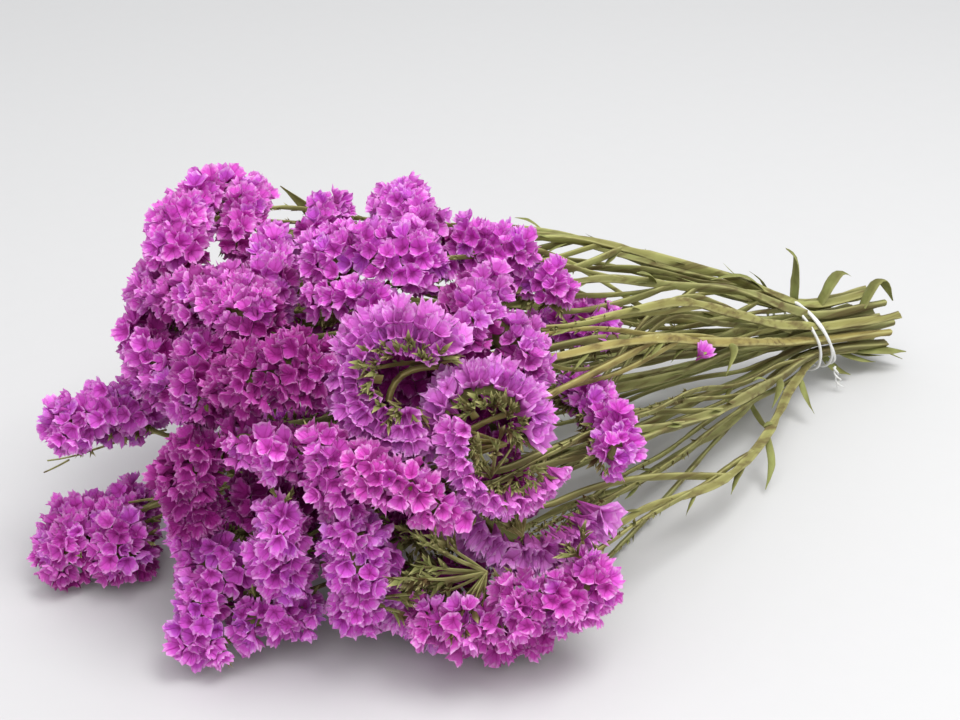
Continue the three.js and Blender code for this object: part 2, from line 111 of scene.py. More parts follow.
CALYX_SIZE = 0.0093  # the net of stations that neighbouring sprays keep clear of
REACH_MARGIN = 0.002
SOFT_BOW = 0.1  # rise of an arc, as a share of its length
BOW_FACING = 1.3  # calyxes of a curled spike face this much out of its curl
MASS_MIDDLE = Vector((-0.345, 0, 0.1))  # the flowers fill a rounded mass
MASS_RADII = Vector((0.14, 0.14, 0.105))
SKYWARD = 0.35


class Spike:
    """The arc of one spike, and the way that its calyxes face at each share of its length."""

    def __init__(self, middle, run, width, bow=None):
        run = Vector(run)
        middle = Vector(middle)
        self.curled = bow is not None
        bowed = Vector(bow) if bow else out_of_mass(middle) * SOFT_BOW * run.length
        self.along = run.normalized()
        out = bowed - self.along * bowed.dot(self.along)
        rise = out.length
        half = run.length / 2
        self.out = out.normalized()
        self.radius = (half * half + rise * rise) / (2 * rise)
        self.turn = math.atan2(half, self.radius - rise)
        self.centre = middle + self.out * (rise / 2 - self.radius)
        self.reach = width / 2 + REACH_MARGIN
        self.length = 2 * self.turn * self.radius

    def outward(self, share):
        angle = self.turn * (2 * share - 1)
        return self.out * math.cos(angle) + self.along * math.sin(angle)

    def point(self, share):
        return self.centre + self.outward(share) * self.radius

    def tangent(self, share):
        angle = self.turn * (2 * share - 1)
        return self.along * math.cos(angle) - self.out * math.sin(angle)

    def facing(self, share):
        facing = out_of_mass(self.point(share))
        if self.curled:
            facing += self.outward(share) * BOW_FACING
        along = self.tangent(share)
        return (facing - along * facing.dot(along)).normalized()

    def stations(self):
        """The shares of its length where the solid spike has a ring of corners."""
        ring = 3 * max(3, math.floor(math.tau * self.reach / (3 * CALYX_SIZE) + 0.5))
        pitch = math.tau * self.reach / ring * math.sin(math.pi / 3)
        spans = max(1, math.floor(self.length / pitch + 0.5))
        return [i / spans for i in range(spans + 1)]


def out_of_mass(point):
    """Out of the flower mass and a little upward."""
    away = point - MASS_MIDDLE
    out = Vector([away[i] / MASS_RADII[i] ** 2 for i in range(3)]).normalized()
    return (out + Vector((0, 0, SKYWARD))).normalized()


# Every spray of a stem: middle, run and breadth of each of its spikes, and the bow of a curled one.
SPRAY_PLAN = {
    "a0": {
        "left_core": [((-.459, -.03, .103), (-.003, .011, -.036), .029)],
        "low_core": [((-.412, -.042, .078), (.032, -.016, -.008), .028)],
    },
    "b1": {
        "far_left": [((-.47, .061, .096), (.04, -.005, .002), .033)],
        "left_upper": [((-.443, .048, .136), (-.015, -.054, -.001), .033)],
        "back_left": [((-.412, .084, .082), (-.03, .028, .006), .03)],
    },
    "b2": {
        "top_honeycomb": [((-.422, .031, .165), (.018, -.078, .02), .035)],
        "top_inner": [((-.378, .038, .169), (-.026, -.054, 0), .026)],
    },
    "b3": {
        "middle_honeycomb": [((-.418, -.054, .161), (.038, -.022, .006), .034)],
        "left_middle": [((-.443, -.015, .145), (-.01, -.024, -.014), .03)],
    },
    "b4": {
        "small_cluster": [
            ((-.43, -.064, .129), (.024, -.016, -.006), .024),
            ((-.411, -.092, .124), (.01, -.008, -.026), .024),
        ],
    },
    "b5": {
        "front_left": [((-.432, -.071, .071), (.01, .018, -.046), .024)],
        "front_tall": [((-.405, -.098, .065), (.008, .008, -.054), .028)],
        "front_corner": [
            ((-.452, -.026, .055), (.014, -.03, -.02), .026),
            ((-.464, -.041, .033), (-.018, -.02, -.03), .03),
            ((-.438, -.063, .028), (.026, -.013, 0), .025),
        ],
    },
    "b6": {
        "far_low": [
            ((-.495, .063, .024), (-.018, -.017, 0), .034),
            ((-.471, .053, .025), (-.016, -.028, 0), .038),
        ],
        "under_left": [((-.432, .002, .022), (.036, .034, 0), .033)],
        "under_middle": [((-.352, 0, .017), (.046, -.008, 0), .03)],
    },
    "c1": {
        "back_middle": [((-.375, .125, .078), (.04, .008, -.006), .032)],
        "back_right": [((-.298, .118, .082), (.04, -.022, .006), .03)],
    },
    "c2": {
        "back_top": [((-.395, .116, .12), (-.036, .03, -.006), .028)],
        "back_upper": [((-.335, .128, .122), (.044, .004, 0), .03)],
    },
    "c3": {
        "top_left": [
            ((-.397, .087, .188), (-.055, -.06, 0), .027),
            ((-.369, .088, .181), (-.03, -.049, 0), .025),
        ],
    },
    "c4": {
        "top_small": [((-.334, .058, .182), (-.018, -.018, 0), .017)],
        "top_back": [((-.315, .102, .138), (.04, 0, -.004), .026)],
    },
    "c5": {
        "top_peak": [((-.3, .02, .189), (-.008, -.034, 0), .025)],
        "top_right": [((-.272, -.009, .172), (.038, -.014, -.002), .024)],
    },
    "c6": {
        "crown": [
            ((-.345, -.018, .19), (.04, -.019, -.002), .03),
            ((-.364, -.031, .177), (.024, -.016, -.006), .025),
        ],
        "top_right_low": [((-.252, -.019, .15), (.03, -.022, -.002), .022)],
        "loose_right": [((-.215, -.018, .111), (.026, -.012, 0), .024)],
    },
    "c7": {
        "upper_right": [
            ((-.319, -.071, .172), (.026, .026, .008), .027),
            ((-.303, -.083, .157), (.008, -.024, -.02), .027),
        ],
    },
    "c8": {
        "middle_curl": [((-.376, -.085, .163), (-.021, -.01, -.036), .022, (-.031, .016, -.006))],
        "middle_arch": [((-.338, -.109, .144), (.036, -.017, .006), .022, (.01, .006, .018))],
    },
    "c9": {
        "front_pink": [((-.385, -.117, .119), (.034, -.018, -.024), .024)],
        "front_curl": [((-.345, -.126, .112), (.038, -.011, -.027), .02, (-.008, -.004, -.014))],
        "right_loose": [((-.247, -.087, .095), (-.018, -.06, 0), .025)],
    },
    "c10": {
        "front_right": [((-.324, -.156, .052), (.038, -.008, .002), .032)],
        "front_smile": [((-.304, -.111, .06), (.057, -.015, -.011), .022, (-.003, -.006, -.012))],
    },
    "c11": {
        "front_fan": [((-.37, -.098, .043), (.03, -.006, -.046), .024, (-.01, .002, -.005))],
        "front_low": [
            ((-.36, -.138, .042), (.038, -.017, 0), .03),
            ((-.334, -.134, .018), (.03, -.01, 0), .025),
        ],
    },
    "c12": {
        "under_back": [((-.4, .098, .017), (.044, .006, 0), .03)],
        "under_back_right": [((-.338, .104, .017), (.04, -.006, 0), .03)],
    },
}

INNER_PLAN = {  # small sprays deep in the bunch
    "behind_curl": [((-.352, -.052, .138), (.05, -.012, -.006), .034)],
    "behind_arch": [((-.322, -.068, .112), (.04, -.02, -.004), .03)],
    "behind_smile": [((-.336, -.088, .072), (.05, -.014, -.004), .032)],
    "behind_fan": [((-.362, -.084, .034), (.04, -.02, -.004), .03)],
}


def spikes_of(plan):
    return {name: [Spike(*row) for row in rows] for name, rows in plan.items()}


SPRAYS = {slot: spikes_of(plan) for slot, plan in SPRAY_PLAN.items()}
INNER_SPRAYS = spikes_of(INNER_PLAN)

# Leaves of a stem: place of the root along the bunch, lead out of the stem, bend and breadth.
LEAVES = {
    "c3": [
        (-0.318, (-0.004, -0.01, 0.017), (-0.018, 0.01, 0.02), 0.008),
        (-0.3, (-0.016, -0.006, 0.014), (-0.034, 0, -0.004), 0.009),
    ],
    "c4": [
        (-0.006, (-0.001, 0, 0.04), (-0.012, 0, 0.004), 0.011),
        (-0.026, (-0.008, 0, 0.014), (-0.011, 0.002, 0.009), 0.004),
    ],
    "c5": [
        (-0.036, (-0.02, 0, 0.02), (-0.028, 0, 0.002), 0.007),
        (0.006, (0.016, 0, 0.026), (0.012, 0, -0.012), 0.009),
    ],
    "c6": [
        (0.038, (0.012, 0, 0.026), (0.018, 0, -0.03), 0.01),
        (-0.15, (-0.012, -0.008, 0.014), (-0.014, -0.006, 0.006), 0.005),
    ],
    "c8": [(-0.118, (-0.01, -0.016, 0.006), (-0.014, -0.008, -0.01), 0.005)],
    "c9": [(-0.06, (-0.01, -0.013, 0.003), (-0.012, -0.006, -0.009), 0.005)],
    "c10": [
        (-0.03, (-0.006, -0.014, -0.008), (0.002, -0.007, -0.009), 0.005),
        (0.036, (0.012, -0.01, 0.002), (0.018, -0.008, -0.004), 0.01),
        (-0.1, (-0.006, -0.014, -0.012), (-0.01, -0.006, -0.012), 0.005),
    ],
    "c11": [
        (-0.074, (-0.002, -0.013, -0.008), (0.004, -0.008, -0.006), 0.004),
        (0.034, (0.014, -0.008, -0.007), (0.014, -0.007, -0.001), 0.007),
        (0.012, (0.006, -0.012, -0.012), (0.008, -0.006, -0.003), 0.009),
        (0.026, (0.008, -0.014, -0.004), (0.016, -0.004, -0.006), 0.01),
        (0.045, (0.01, -0.01, 0), (0.012, -0.014, -0.006), 0.009),
    ],
    "c12": [
        (0.03, (0.014, 0.012, -0.004), (0.012, 0.008, -0.003), 0.007),
        (0.048, (0.012, -0.006, -0.004), (0.02, 0.0, 0.004), 0.008),
    ],
    "c1": [(-0.12, (-0.008, 0.016, 0.004), (-0.014, 0.009, -0.004), 0.006)],
    "c2": [(-0.17, (-0.014, 0.013, 0.008), (-0.014, 0.008, 0), 0.005)],
}

# Fans of green buds: where they spread from, way, spread in radians, stalks and reach.
FANS = {
    "c11": [
        ((-0.351, -0.135, 0.066), (-0.84, 0.45, 0.15), 1.6, 11, 0.042),
        ((-0.351, -0.135, 0.066), (-0.5, 0.0, -0.75), 0.8, 5, 0.036),
    ],
    "c10": [
        ((-0.322, -0.124, 0.07), (-0.3, 0.2, 0.9), 1.4, 5, 0.018),
        ((-0.3, -0.15, 0.062), (-0.4, 0.1, 0.8), 1.4, 4, 0.016),
    ],
    "b5": [((-0.402, -0.104, 0.05), (0.7, -0.5, -0.1), 1.3, 6, 0.024)],
    "c8": [((-0.328, -0.118, 0.125), (-0.85, 0.3, 0.15), 0.9, 6, 0.038)],
    "c9": [((-0.34, -0.122, 0.112), (-0.2, -0.2, 0.8), 1.6, 6, 0.02)],
}

# Thin stalks that cross the others, and bare twigs: their stops and radius.
STRAY_STALKS = {
    "c9": [
        ([(-0.04, -0.02, 0.058), (-0.096, -0.03, 0.09), (-0.124, -0.0255, 0.11), (-0.157, -0.028, 0.116),
          (-0.192, -0.0395, 0.103), (-0.216, -0.049, 0.09), (-0.238, -0.062, 0.094)], 0.0021),
        ([(-0.07, -0.02, 0.07), (-0.126, -0.034, 0.096), (-0.152, -0.034, 0.111), (-0.178, -0.037, 0.101),
          (-0.212, -0.053, 0.086), (-0.246, -0.075, 0.09)], 0.0019),
    ],
    "c5": [
        ([(-0.05, 0.004, 0.07), (-0.101, -0.014, 0.08), (-0.148, -0.011, 0.096), (-0.172, 0, 0.118),
          (-0.211, 0.014, 0.146), (-0.262, 0.004, 0.17)], 0.0021),
    ],
    "b1": [
        ([(-0.44, 0.055, 0.08), (-0.456, 0.071, 0.072), (-0.469, 0.086, 0.062), (-0.489, 0.098, 0.052),
          (-0.494, 0.107, 0.05)], 0.0008),
        ([(-0.485, 0.095, 0.054), (-0.494, 0.1, 0.046), (-0.498, 0.104, 0.045)], 0.0006),
    ],
    "b6": [
        ([(-0.42, 0.015, 0.04), (-0.445, 0.03, 0.052), (-0.466, 0.05, 0.036)], 0.0013),
        ([(-0.43, 0.0, 0.05), (-0.452, 0.02, 0.06), (-0.47, 0.045, 0.048)], 0.001),
        ([(-0.425, -0.012, 0.066), (-0.446, -0.002, 0.056), (-0.458, 0.012, 0.066)], 0.0009),
    ],
}

# ---- Node trees written as expressions ----


class Wire:
    """A socket of a node tree, with Python's operators adding Math nodes."""

    def __init__(self, tree, socket):
        self.tree = tree
        self.socket = socket

    def math(self, operation, *others):
        return self.tree.math(operation, self, *others)

    def vector(self, operation, *others, out=None):
        values = dict(enumerate([self, *others]))
        if operation == "SCALE":
            values = {"Vector": self, "Scale": others[0]}
        return self.tree.node("ShaderNodeVectorMath", {"operation": operation}, values, out)

    def __add__(self, other):
        return self.math("ADD", other)

    __radd__ = __add__

    def __sub__(self, other):
        return self.math("SUBTRACT", other)

    def __rsub__(self, other):
        return self.tree.math("SUBTRACT", other, self)

    def __mul__(self, other):
        return self.math("MULTIPLY", other)

    __rmul__ = __mul__

    def __truediv__(self, other):
        return self.math("DIVIDE", other)

    def __rtruediv__(self, other):
        return self.tree.math("DIVIDE", other, self)

    def __neg__(self):
        return self.math("MULTIPLY", -1)

    def ramp(self, low, high):
        """0 up to low, 1 from high, and smooth between them."""
        sockets = {"Value": self, "From Min": low, "From Max": high}
        return self.tree.node("ShaderNodeMapRange", {"interpolation_type": "SMOOTHSTEP"}, sockets)


class Tree:
    """A node tree with one way to add a node, and short forms for those that come back often."""

    def __init__(self, tree):
        self.tree = tree
        tree.nodes.clear()

    def node(self, kind, settings=None, sockets=None, out=None):
        """Adds a node, sets it up, fills its sockets by name or place, and returns one output."""
        node = self.tree.nodes.new(kind)
        for name, value in (settings or {}).items():
            setattr(node, name, value)
        for key, value in (sockets or {}).items():
            socket = self.open_socket(node.inputs, key)
            for one in value if isinstance(value, list) else [value]:
                if isinstance(one, Wire):
                    self.tree.links.new(one.socket, socket)
                else:
                    socket.default_value = one
        return Wire(self, self.open_socket(node.outputs, out)) if node.outputs else None

    @staticmethod
    def open_socket(sockets, key):
        """The socket in that place, or the first one in use with that name."""
        if isinstance(key, int):
            return sockets[key]
        return next(s for s in sockets if s.enabled and (key is None or s.name == key))

    def math(self, operation, *values):
        return self.node("ShaderNodeMath", {"operation": operation}, dict(enumerate(values)))

    def noise(self, place, scale, detail, rough=0.5, colour=False):
        """Even noise between 0 and 1, or three of them at once as a colour."""
        sockets = {"Vector": place, "Scale": scale, "Detail": detail, "Roughness": rough}
        return self.node("ShaderNodeTexNoise", None, sockets, 1 if colour else 0)

    def attribute(self, name, kind="FLOAT"):
        """A named attribute of the mesh, in a geometry tree."""
        return self.node("GeometryNodeInputNamedAttribute", {"data_type": kind}, {"Name": name})

    def place(self):
        return self.node("GeometryNodeInputPosition")

    def store(self, geometry, name, value, kind="FLOAT", domain="POINT"):
        settings = {"data_type": kind, "domain": domain}
        sockets = {"Geometry": geometry, "Name": name, "Value": value}
        return self.node("GeometryNodeStoreNamedAttribute", settings, sockets)

    def moved(self, geometry, **where):
        """Geometry with its points at a new Position, or moved by an Offset."""
        return self.node("GeometryNodeSetPosition", None, {"Geometry": geometry, **where})

    def random(self, low, high, seed, kind="FLOAT"):
        sockets = {"Min": low, "Max": high, "Seed": seed}
        return self.node("FunctionNodeRandomValue", {"data_type": kind}, sockets)

    def painted(self, geometry, material):
        return self.node("GeometryNodeSetMaterial", None, {"Geometry": geometry, "Material": material})


class Grower:
    """A Geometry Nodes group with named inputs, and the plain mesh that it makes of an object."""

    def __init__(self, name, **inputs):
        """Makes the group, with an input for each name; low lines stand for spaces."""
        self.group = bpy.data.node_groups.new(name, "GeometryNodeTree")
        self.tree = Tree(self.group)
        self.ids = {}
        interface = self.group.interface
        interface.new_socket("Geometry", in_out="OUTPUT", socket_type="NodeSocketGeometry")
        for label, kind in {"Geometry": "Geometry", **inputs}.items():
            label = label.replace("_", " ")
            socket = interface.new_socket(label, in_out="INPUT", socket_type=f"NodeSocket{kind}")
            self.ids[label] = socket.identifier
        node = self.group.nodes.new("NodeGroupInput")
        self.inputs = {s.name: Wire(self.tree, s) for s in node.outputs if s.name}

    def end(self, geometry):
        """Closes the tree, and returns the grower for use."""
        self.tree.node("NodeGroupOutput", None, {0: geometry})
        return self

    def grow(self, obj, **values):
        """Runs the group on obj and leaves its result as a plain mesh."""
        modifier = obj.modifiers.new(self.group.name, "NODES")
        modifier.node_group = self.group
        for label, value in values.items():
            modifier[self.ids[label.replace("_", " ")]] = value
        graph = bpy.context.evaluated_depsgraph_get()
        mesh = bpy.data.meshes.new_from_object(obj.evaluated_get(graph))
        obj.modifiers.clear()
        old = obj.data
        obj.data = mesh
        bpy.data.meshes.remove(old)
        mesh.name = obj.name
        return obj


# ---- Small helpers ----


def new_object(name, points, edges, faces, attributes=None):
    """A mesh object in the scene, with attributes on its points."""
    mesh = bpy.data.meshes.new(name)
    mesh.from_pydata([tuple(p) for p in points], edges, faces)
    for label, values in (attributes or {}).items():
        wide = hasattr(values[0], "__len__")
        layer = mesh.attributes.new(label, "FLOAT_VECTOR" if wide else "FLOAT", "POINT")
        flat = [x for v in values for x in v] if wide else list(values)
        layer.data.foreach_set("vector" if wide else "value", flat)
    obj = bpy.data.objects.new(name, mesh)
    bpy.context.scene.collection.objects.link(obj)
    return obj


def finish_piece(obj, slot, *nodes):
    """Lets a piece ride with the bunch and stand for its solids."""
    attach(obj, "root")
    if nodes:
        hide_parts(*nodes)


def smoothstep(value, low, high):
    share = min(max((value - low) / (high - low), 0), 1)
    return share * share * (3 - 2 * share)


def polar(radius, degrees):
    return radius * math.cos(math.radians(degrees)), radius * math.sin(math.radians(degrees))


def any_side(along, draw):
    """A way square to another one."""
    return along.cross(Vector([draw.gauss(0, 1) for _ in range(3)])).normalized()


def stem_seed(slot):
    return 11 + list(SPRAYS).index(slot)


# ---- Guides: the plain surface of a spray, which its calyxes grow on ----

BACK_REACH = 0.66  # a spike reaches this share of its breadth at its back
SWELL = 0.12  # how much a spike swells and narrows along its length
SWELL_WAVE = 290.0
LUMPS = 0.42  # and how lumpy it is
LUMP_SIZE = 70.0
DRAWN_IN = 0.9  # the rims of the calyxes stand out to the breadth of the solid spike
SLIMMED = {"front_right": 0.9, "front_low": 0.86, "top_left": 0.92}  # these stand clear of their neighbours
CAP_TIP = 0.8  # how far the ends stand out, in reaches
CAP_ROWS = 4
GUIDE_STEP = 0.0036
GUIDE_ROUND = 20
BACK_ANGLES = (1.9, 2.8)  # from the front, where the green back starts and where it is whole
CURL_ANGLES = (1.2, 1.9)  # a curled spike shows its green back sooner
ROUND_ANGLES = (2.6, 3.1)
ALL_ROUND = ("far_left", "far_low", "small_cluster", "top_small")  # these flower nearly all round
LEAN = 0.35  # calyxes lean towards the tip of their spike
CURL_AIM = 1.1  # calyxes of a curled spike stand out of its curl
NEIGHBOUR_RANGE = 2.6  # how near another spray has to be to press on this one, in reaches
MESHING = -0.003  # how far past the middle between two sprays a guide may go; below nought, short of it
GROUND_GAP = 0.002
INSIDE = 0.62  # share of another spike's reach where nothing grows
INSIDE_STEPS = 8  # places along the other spike that this is looked up at
OPEN_REACH = 0.035  # how far off another spray still hides a place
OPEN_LEAP = 0.004  # the look round starts this far out of a place
OPEN_ROUND = 8  # ways looked along, besides straight ahead
OPEN_SLANT = 0.9


def all_sprays():
    """Every spray with its spikes: those of the stems, and the small ones deep in the bunch."""
    found = {name: spikes for sprays in SPRAYS.values() for name, spikes in sprays.items()}
    return {**found, **INNER_SPRAYS}


def other_stations(name):
    """The stations of every other spray, in the plan."""
    found = []
    for sprays in SPRAYS.values():
        for other, spikes in sprays.items():
            if other != name:
                found += [one.point(share) for one in spikes for share in one.stations()]
    return np.array(found)


def walls_round(root, others, reach):
    """The half-spaces that keep a spray on its own side of its neighbours, and above the ground."""
    away = others - root
    distance = np.linalg.norm(away, axis=1)
    near = (distance < NEIGHBOUR_RANGE * reach) & (distance > 1e-6)
    normals = away[near] / distance[near, None]
    limits = distance[near] / 2 + MESHING
    normals = np.vstack([normals, [[0, 0, -1]]])
    return normals, np.append(limits, root[2] - GROUND_GAP)


def kept_in(offset, walls):
    """How far out an offset may go and stay inside its walls."""
    normals, limits = walls
    reach = normals @ offset
    over = reach > np.maximum(limits, 0)
    if not over.any():
        return 1.0
    return float(np.min(np.maximum(limits[over], 0) / reach[over]))


def back_ends(name, spikes):
    """The angles from the front where the green back of a spray starts and is whole."""
    if name in ALL_ROUND:
        return ROUND_ANGLES
    return CURL_ANGLES if spikes[0].curled else BACK_ANGLES


def spike_rows(one):
    """Rows of a guide: share of the spike's length, lift past its end and share of its breadth."""
    angles = [math.pi / 2 * (i + 0.25) / CAP_ROWS for i in range(CAP_ROWS)]
    caps = [(math.cos(a), math.sin(a)) for a in angles]
    steps = max(4, math.ceil(one.length / GUIDE_STEP))
    start = [(0, -lift, spread) for lift, spread in caps]
    body = [(i / steps, 0, 1) for i in range(steps + 1)]
    end = [(1, lift, spread) for lift, spread in reversed(caps)]
    return start + body + end


def ways_round(one, share):
    """The turn from the front, and the way out, of each point round a spike."""
    facing = one.facing(share)
    side = one.tangent(share).cross(facing)
    for column in range(GUIDE_ROUND):
        angle = math.tau * column / GUIDE_ROUND
        turn = (angle + math.pi) % math.tau - math.pi
        yield abs(turn), facing * math.cos(angle) + side * math.sin(angle)


def outline_at(one, share, turn, out, slim):
    """How far a spike reaches in one way: lumpy, and flatter at its back."""
    root = one.point(share)
    back = smoothstep(turn, *BACK_ANGLES)
    swell = DRAWN_IN + SWELL * math.sin(SWELL_WAVE * root.x + 3 * share)
    swell += LUMPS * noise.noise((root + out * one.reach) * LUMP_SIZE)
    return one.reach * slim * swell * (1 - (1 - BACK_REACH) * back)


def aim_of(one, share, offset):
    """The way that a calyx looks, from where it stands on its spike."""
    along = one.tangent(share)
    aim = offset.normalized() + along * (-LEAN if along.x > 0 else LEAN)
    if one.curled:
        aim += one.outward(share) * CURL_AIM
    return aim.normalized()


def inside(point, other):
    """Whether a point lies well inside another spike."""
    stops = [other.point(i / INSIDE_STEPS) for i in range(INSIDE_STEPS + 1)]
    return min((point - stop).length for stop in stops) < INSIDE * other.reach


def guide_of(name, spikes):
    """Points, faces and attributes of a spray's guide."""
    others, ends, slim = other_stations(name), back_ends(name, spikes), SLIMMED.get(name, 1)
    points, faces, marks = [], [], {"aim": [], "front": [], "room": [], "root": []}
    for one in spikes:
        rest = [other for other in spikes if other is not one]
        first, rows = len(points), spike_rows(one)
        for share, lift, spread in rows:
            root = one.point(share)
            walls = walls_round(np.array(root), others, one.reach)
            past = one.tangent(share) * (lift * CAP_TIP * one.reach)
            for turn, out in ways_round(one, share):
                offset = out * (outline_at(one, share, turn, out, slim) * spread) + past
                room = kept_in(np.array(offset), walls)
                point = root + offset * room + PLAN_ORIGIN
                buried = any(inside(point - PLAN_ORIGIN, other) for other in rest)
                points.append(point)
                marks["aim"].append(aim_of(one, share, offset))
                marks["front"].append(1 - smoothstep(turn, *ends))
                marks["room"].append(0 if buried else room)
                marks["root"].append(root + PLAN_ORIGIN)
        faces += net_faces(first, len(rows))
    return points, faces, marks


def net_faces(first, rows):
    """Faces of a closed net of rows, from the place of its first point."""
    rings = [range(first + row * GUIDE_ROUND, first + (row + 1) * GUIDE_ROUND) for row in range(rows)]
    faces = [face for low, high in zip(rings, rings[1:]) for face in ring_faces(low, high)]
    return [*faces, tuple(reversed(rings[0])), tuple(rings[-1])]


def joined_surfaces(guides):
    """A tree of the faces of every guide."""
    points, faces = [], []
    for guide_points, guide_faces, _ in guides:
        first = len(points)
        points += guide_points
        faces += [[first + corner for corner in face] for face in guide_faces]
    return BVHTree.FromPolygons(points, faces)


def open_shares(points, aims, surfaces):
    """How much of what a place could see lies clear of the other sprays and the ground."""
    shares = []
    for point, aim in zip(points, aims):
        side = aim.orthogonal().normalized()
        across = aim.cross(side)
        start = point + aim * OPEN_LEAP
        clear = 0
        for i in range(OPEN_ROUND + 1):
            angle = math.tau * i / OPEN_ROUND
            slant = OPEN_SLANT if i < OPEN_ROUND else 0
            way = (aim + (side * math.cos(angle) + across * math.sin(angle)) * slant).normalized()
            grounded = start.z + way.z * OPEN_REACH < 0
            if not grounded and surfaces.ray_cast(start, way, OPEN_REACH)[0] is None:
                clear += 1
        shares.append(clear / (OPEN_ROUND + 1))
    return shares


# ---- Calyxes and spikelets ----

SHAPES = 9  # different shapes of each
LOBES = 5
PLEATS = ((0.93, -0.09), (1.0, 0.06), (0.99, -0.06), (1.02, 0.05))  # breadth and lift across a lobe
WALLS = (  # height, breadth, columns to a lobe and outer share, from the foot up and down inside
    (-0.55, 0.36, 1, 1.0),
    (-0.22, 0.78, 4, 1.0),
    (0.0, 1.0, 4, 0.5),
    (-0.15, 0.7, 4, 0.0),
    (-0.46, 0.22, 1, 0.0),
)
FOOT = -1.0
THROAT = -0.56
PLEATED_FROM = -0.7  # the height where pleats and tears begin
RAGGED = 0.065  # how unevenly a rim is torn: round, outwards and upwards
TEARS = (0.7, 1.0, 1.2)
OVAL = (0.74, 1.0)  # least and greatest breadth one way, as a share of the other
SCALES = 4  # pointed scales in a tuft
SCALE_BREADTH = 0.14
SCALE_LENGTHS = (0.6, 1.15)
SCALE_LEANS = (0.2, 0.6)
SCALE_UPRIGHT = 0.08  # lean of the first
SCALE_SWING = 0.3
SCALE_CORNERS = ((1, -0.3), (0, 0.5), (-1, -0.3))
SCALE_RINGS = ((0.0, 0.5), (0.5, 1.0))  # share of its length, and breadth there
SCALE_BEND = -0.1
SCALE_TIP = 0.04


def calyx_shape(name, sizes, draw):
    """A pleated paper funnel with five ragged lobes, closed, with its mouth at the origin."""
    mouth, depth = sizes.mouth / 2, sizes.depth
    pleats = LOBES * len(PLEATS)
    tears = [[draw.uniform(-RAGGED, RAGGED) * share for _ in range(pleats)] for share in TEARS]
    oval = draw.uniform(*OVAL)
    points, marks, rings = [(0, 0, FOOT * depth)], [(0.0, 1.0, 1.0)], []
    for height, breadth, per_lobe, outer in WALLS:
        edge = smoothstep(height, PLEATED_FROM, 0)
        count = LOBES * per_lobe
        rings.append(range(len(points), len(points) + count))
        for column in range(count):
            pleat = column * pleats // count
            narrow, lift = PLEATS[pleat % len(PLEATS)]
            turn, out, up = [tear[pleat] for tear in tears]
            angle = math.tau * column / count + turn * edge
            radius = mouth * breadth * (1 + edge * (narrow - 1 + out))
            rise = depth * (height + edge * (lift + up))
            points.append((math.cos(angle) * radius, math.sin(angle) * radius * oval, rise))
            marks.append((1 + height, outer, float(pleat % len(PLEATS) == 0)))
    points.append((0, 0, THROAT * depth))
    marks.append((1 + THROAT, 0.0, 1.0))
    faces = [(0, after, before) for before, after in loop_pairs(rings[0])]
    for low, high in zip(rings, rings[1:]):
        faces += ring_faces(low, high)
    faces += [(before, after, len(points) - 1) for before, after in loop_pairs(rings[-1])]
    return new_object(name, points, [], faces, dict(zip(("rim", "outer", "fold"), zip(*marks))))


def loop_pairs(ring):
    return zip(ring, [*ring[1:], ring[0]])


def ring_faces(low, high):
    """Faces between two rings, one of which may have several points to each of the other's."""
    if len(low) == len(high):
        return [(a, b, d, c) for (a, b), (c, d) in zip(loop_pairs(low), loop_pairs(high))]
    faces = []
    few, many = (low, high) if len(low) < len(high) else (high, low)
    times = len(many) // len(few)
    half = times // 2
    for i, (a, b) in enumerate(loop_pairs(few)):
        fan = [many[(i * times + j) % len(many)] for j in range(times + 1)]
        made = [(a, d, c) for c, d in zip(fan[:half], fan[1:])]
        made += [(a, b, fan[half])]
        made += [(b, d, c) for c, d in zip(fan[half:], fan[half + 1:])]
        faces += made if few is low else [face[::-1] for face in made]
    return faces


def spikelet_shape(name, sizes, draw):
    """A tuft of pointed green scales, with its root at the origin."""
    points, faces, tips = [], [], []
    for blade in range(SCALES):
        length = sizes.spikelet * draw.uniform(*SCALE_LENGTHS)
        width = SCALE_BREADTH * length
        lean = SCALE_UPRIGHT if blade == 0 else draw.uniform(*SCALE_LEANS)
        swing = math.tau * blade / (SCALES - 1) + draw.uniform(-SCALE_SWING, SCALE_SWING)
        turn = Matrix.Rotation(swing, 3, "Z") @ Matrix.Rotation(lean, 3, "Y")
        first = len(points)
        for share, breadth in SCALE_RINGS:
            for x, y in SCALE_CORNERS:
                bend = SCALE_BEND * length * share
                corner = (y * width * breadth + bend, x * width * breadth, share * length)
                points.append(turn @ Vector(corner))
                tips.append(share)
        points.append(turn @ Vector((SCALE_TIP * length, 0, length)))
        tips.append(1.0)
        for c in range(3):
            after = (c + 1) % 3
            faces.append((first + c, first + after, first + 3 + after, first + 3 + c))
            faces.append((first + 3 + c, first + 3 + after, first + 6))
        faces.append((first + 2, first + 1, first))
    return new_object(name, points, [], faces, {"tip": tips})


def shape_collection(name, make, sizes, seed):
    """A few shapes to pick from, kept out of the scene."""
    draw = random.Random(seed)
    kept = bpy.data.collections.new(name)
    for i in range(SHAPES):
        shape = make(f"{name}_{i}", sizes, draw)
        bpy.context.scene.collection.objects.unlink(shape)
        kept.objects.link(shape)
    return kept


def drop_collection(kept):
    for obj in list(kept.objects):
        mesh = obj.data
        bpy.data.objects.remove(obj)
        bpy.data.meshes.remove(mesh)
    bpy.data.collections.remove(kept)


# ---- Growing the calyxes ----

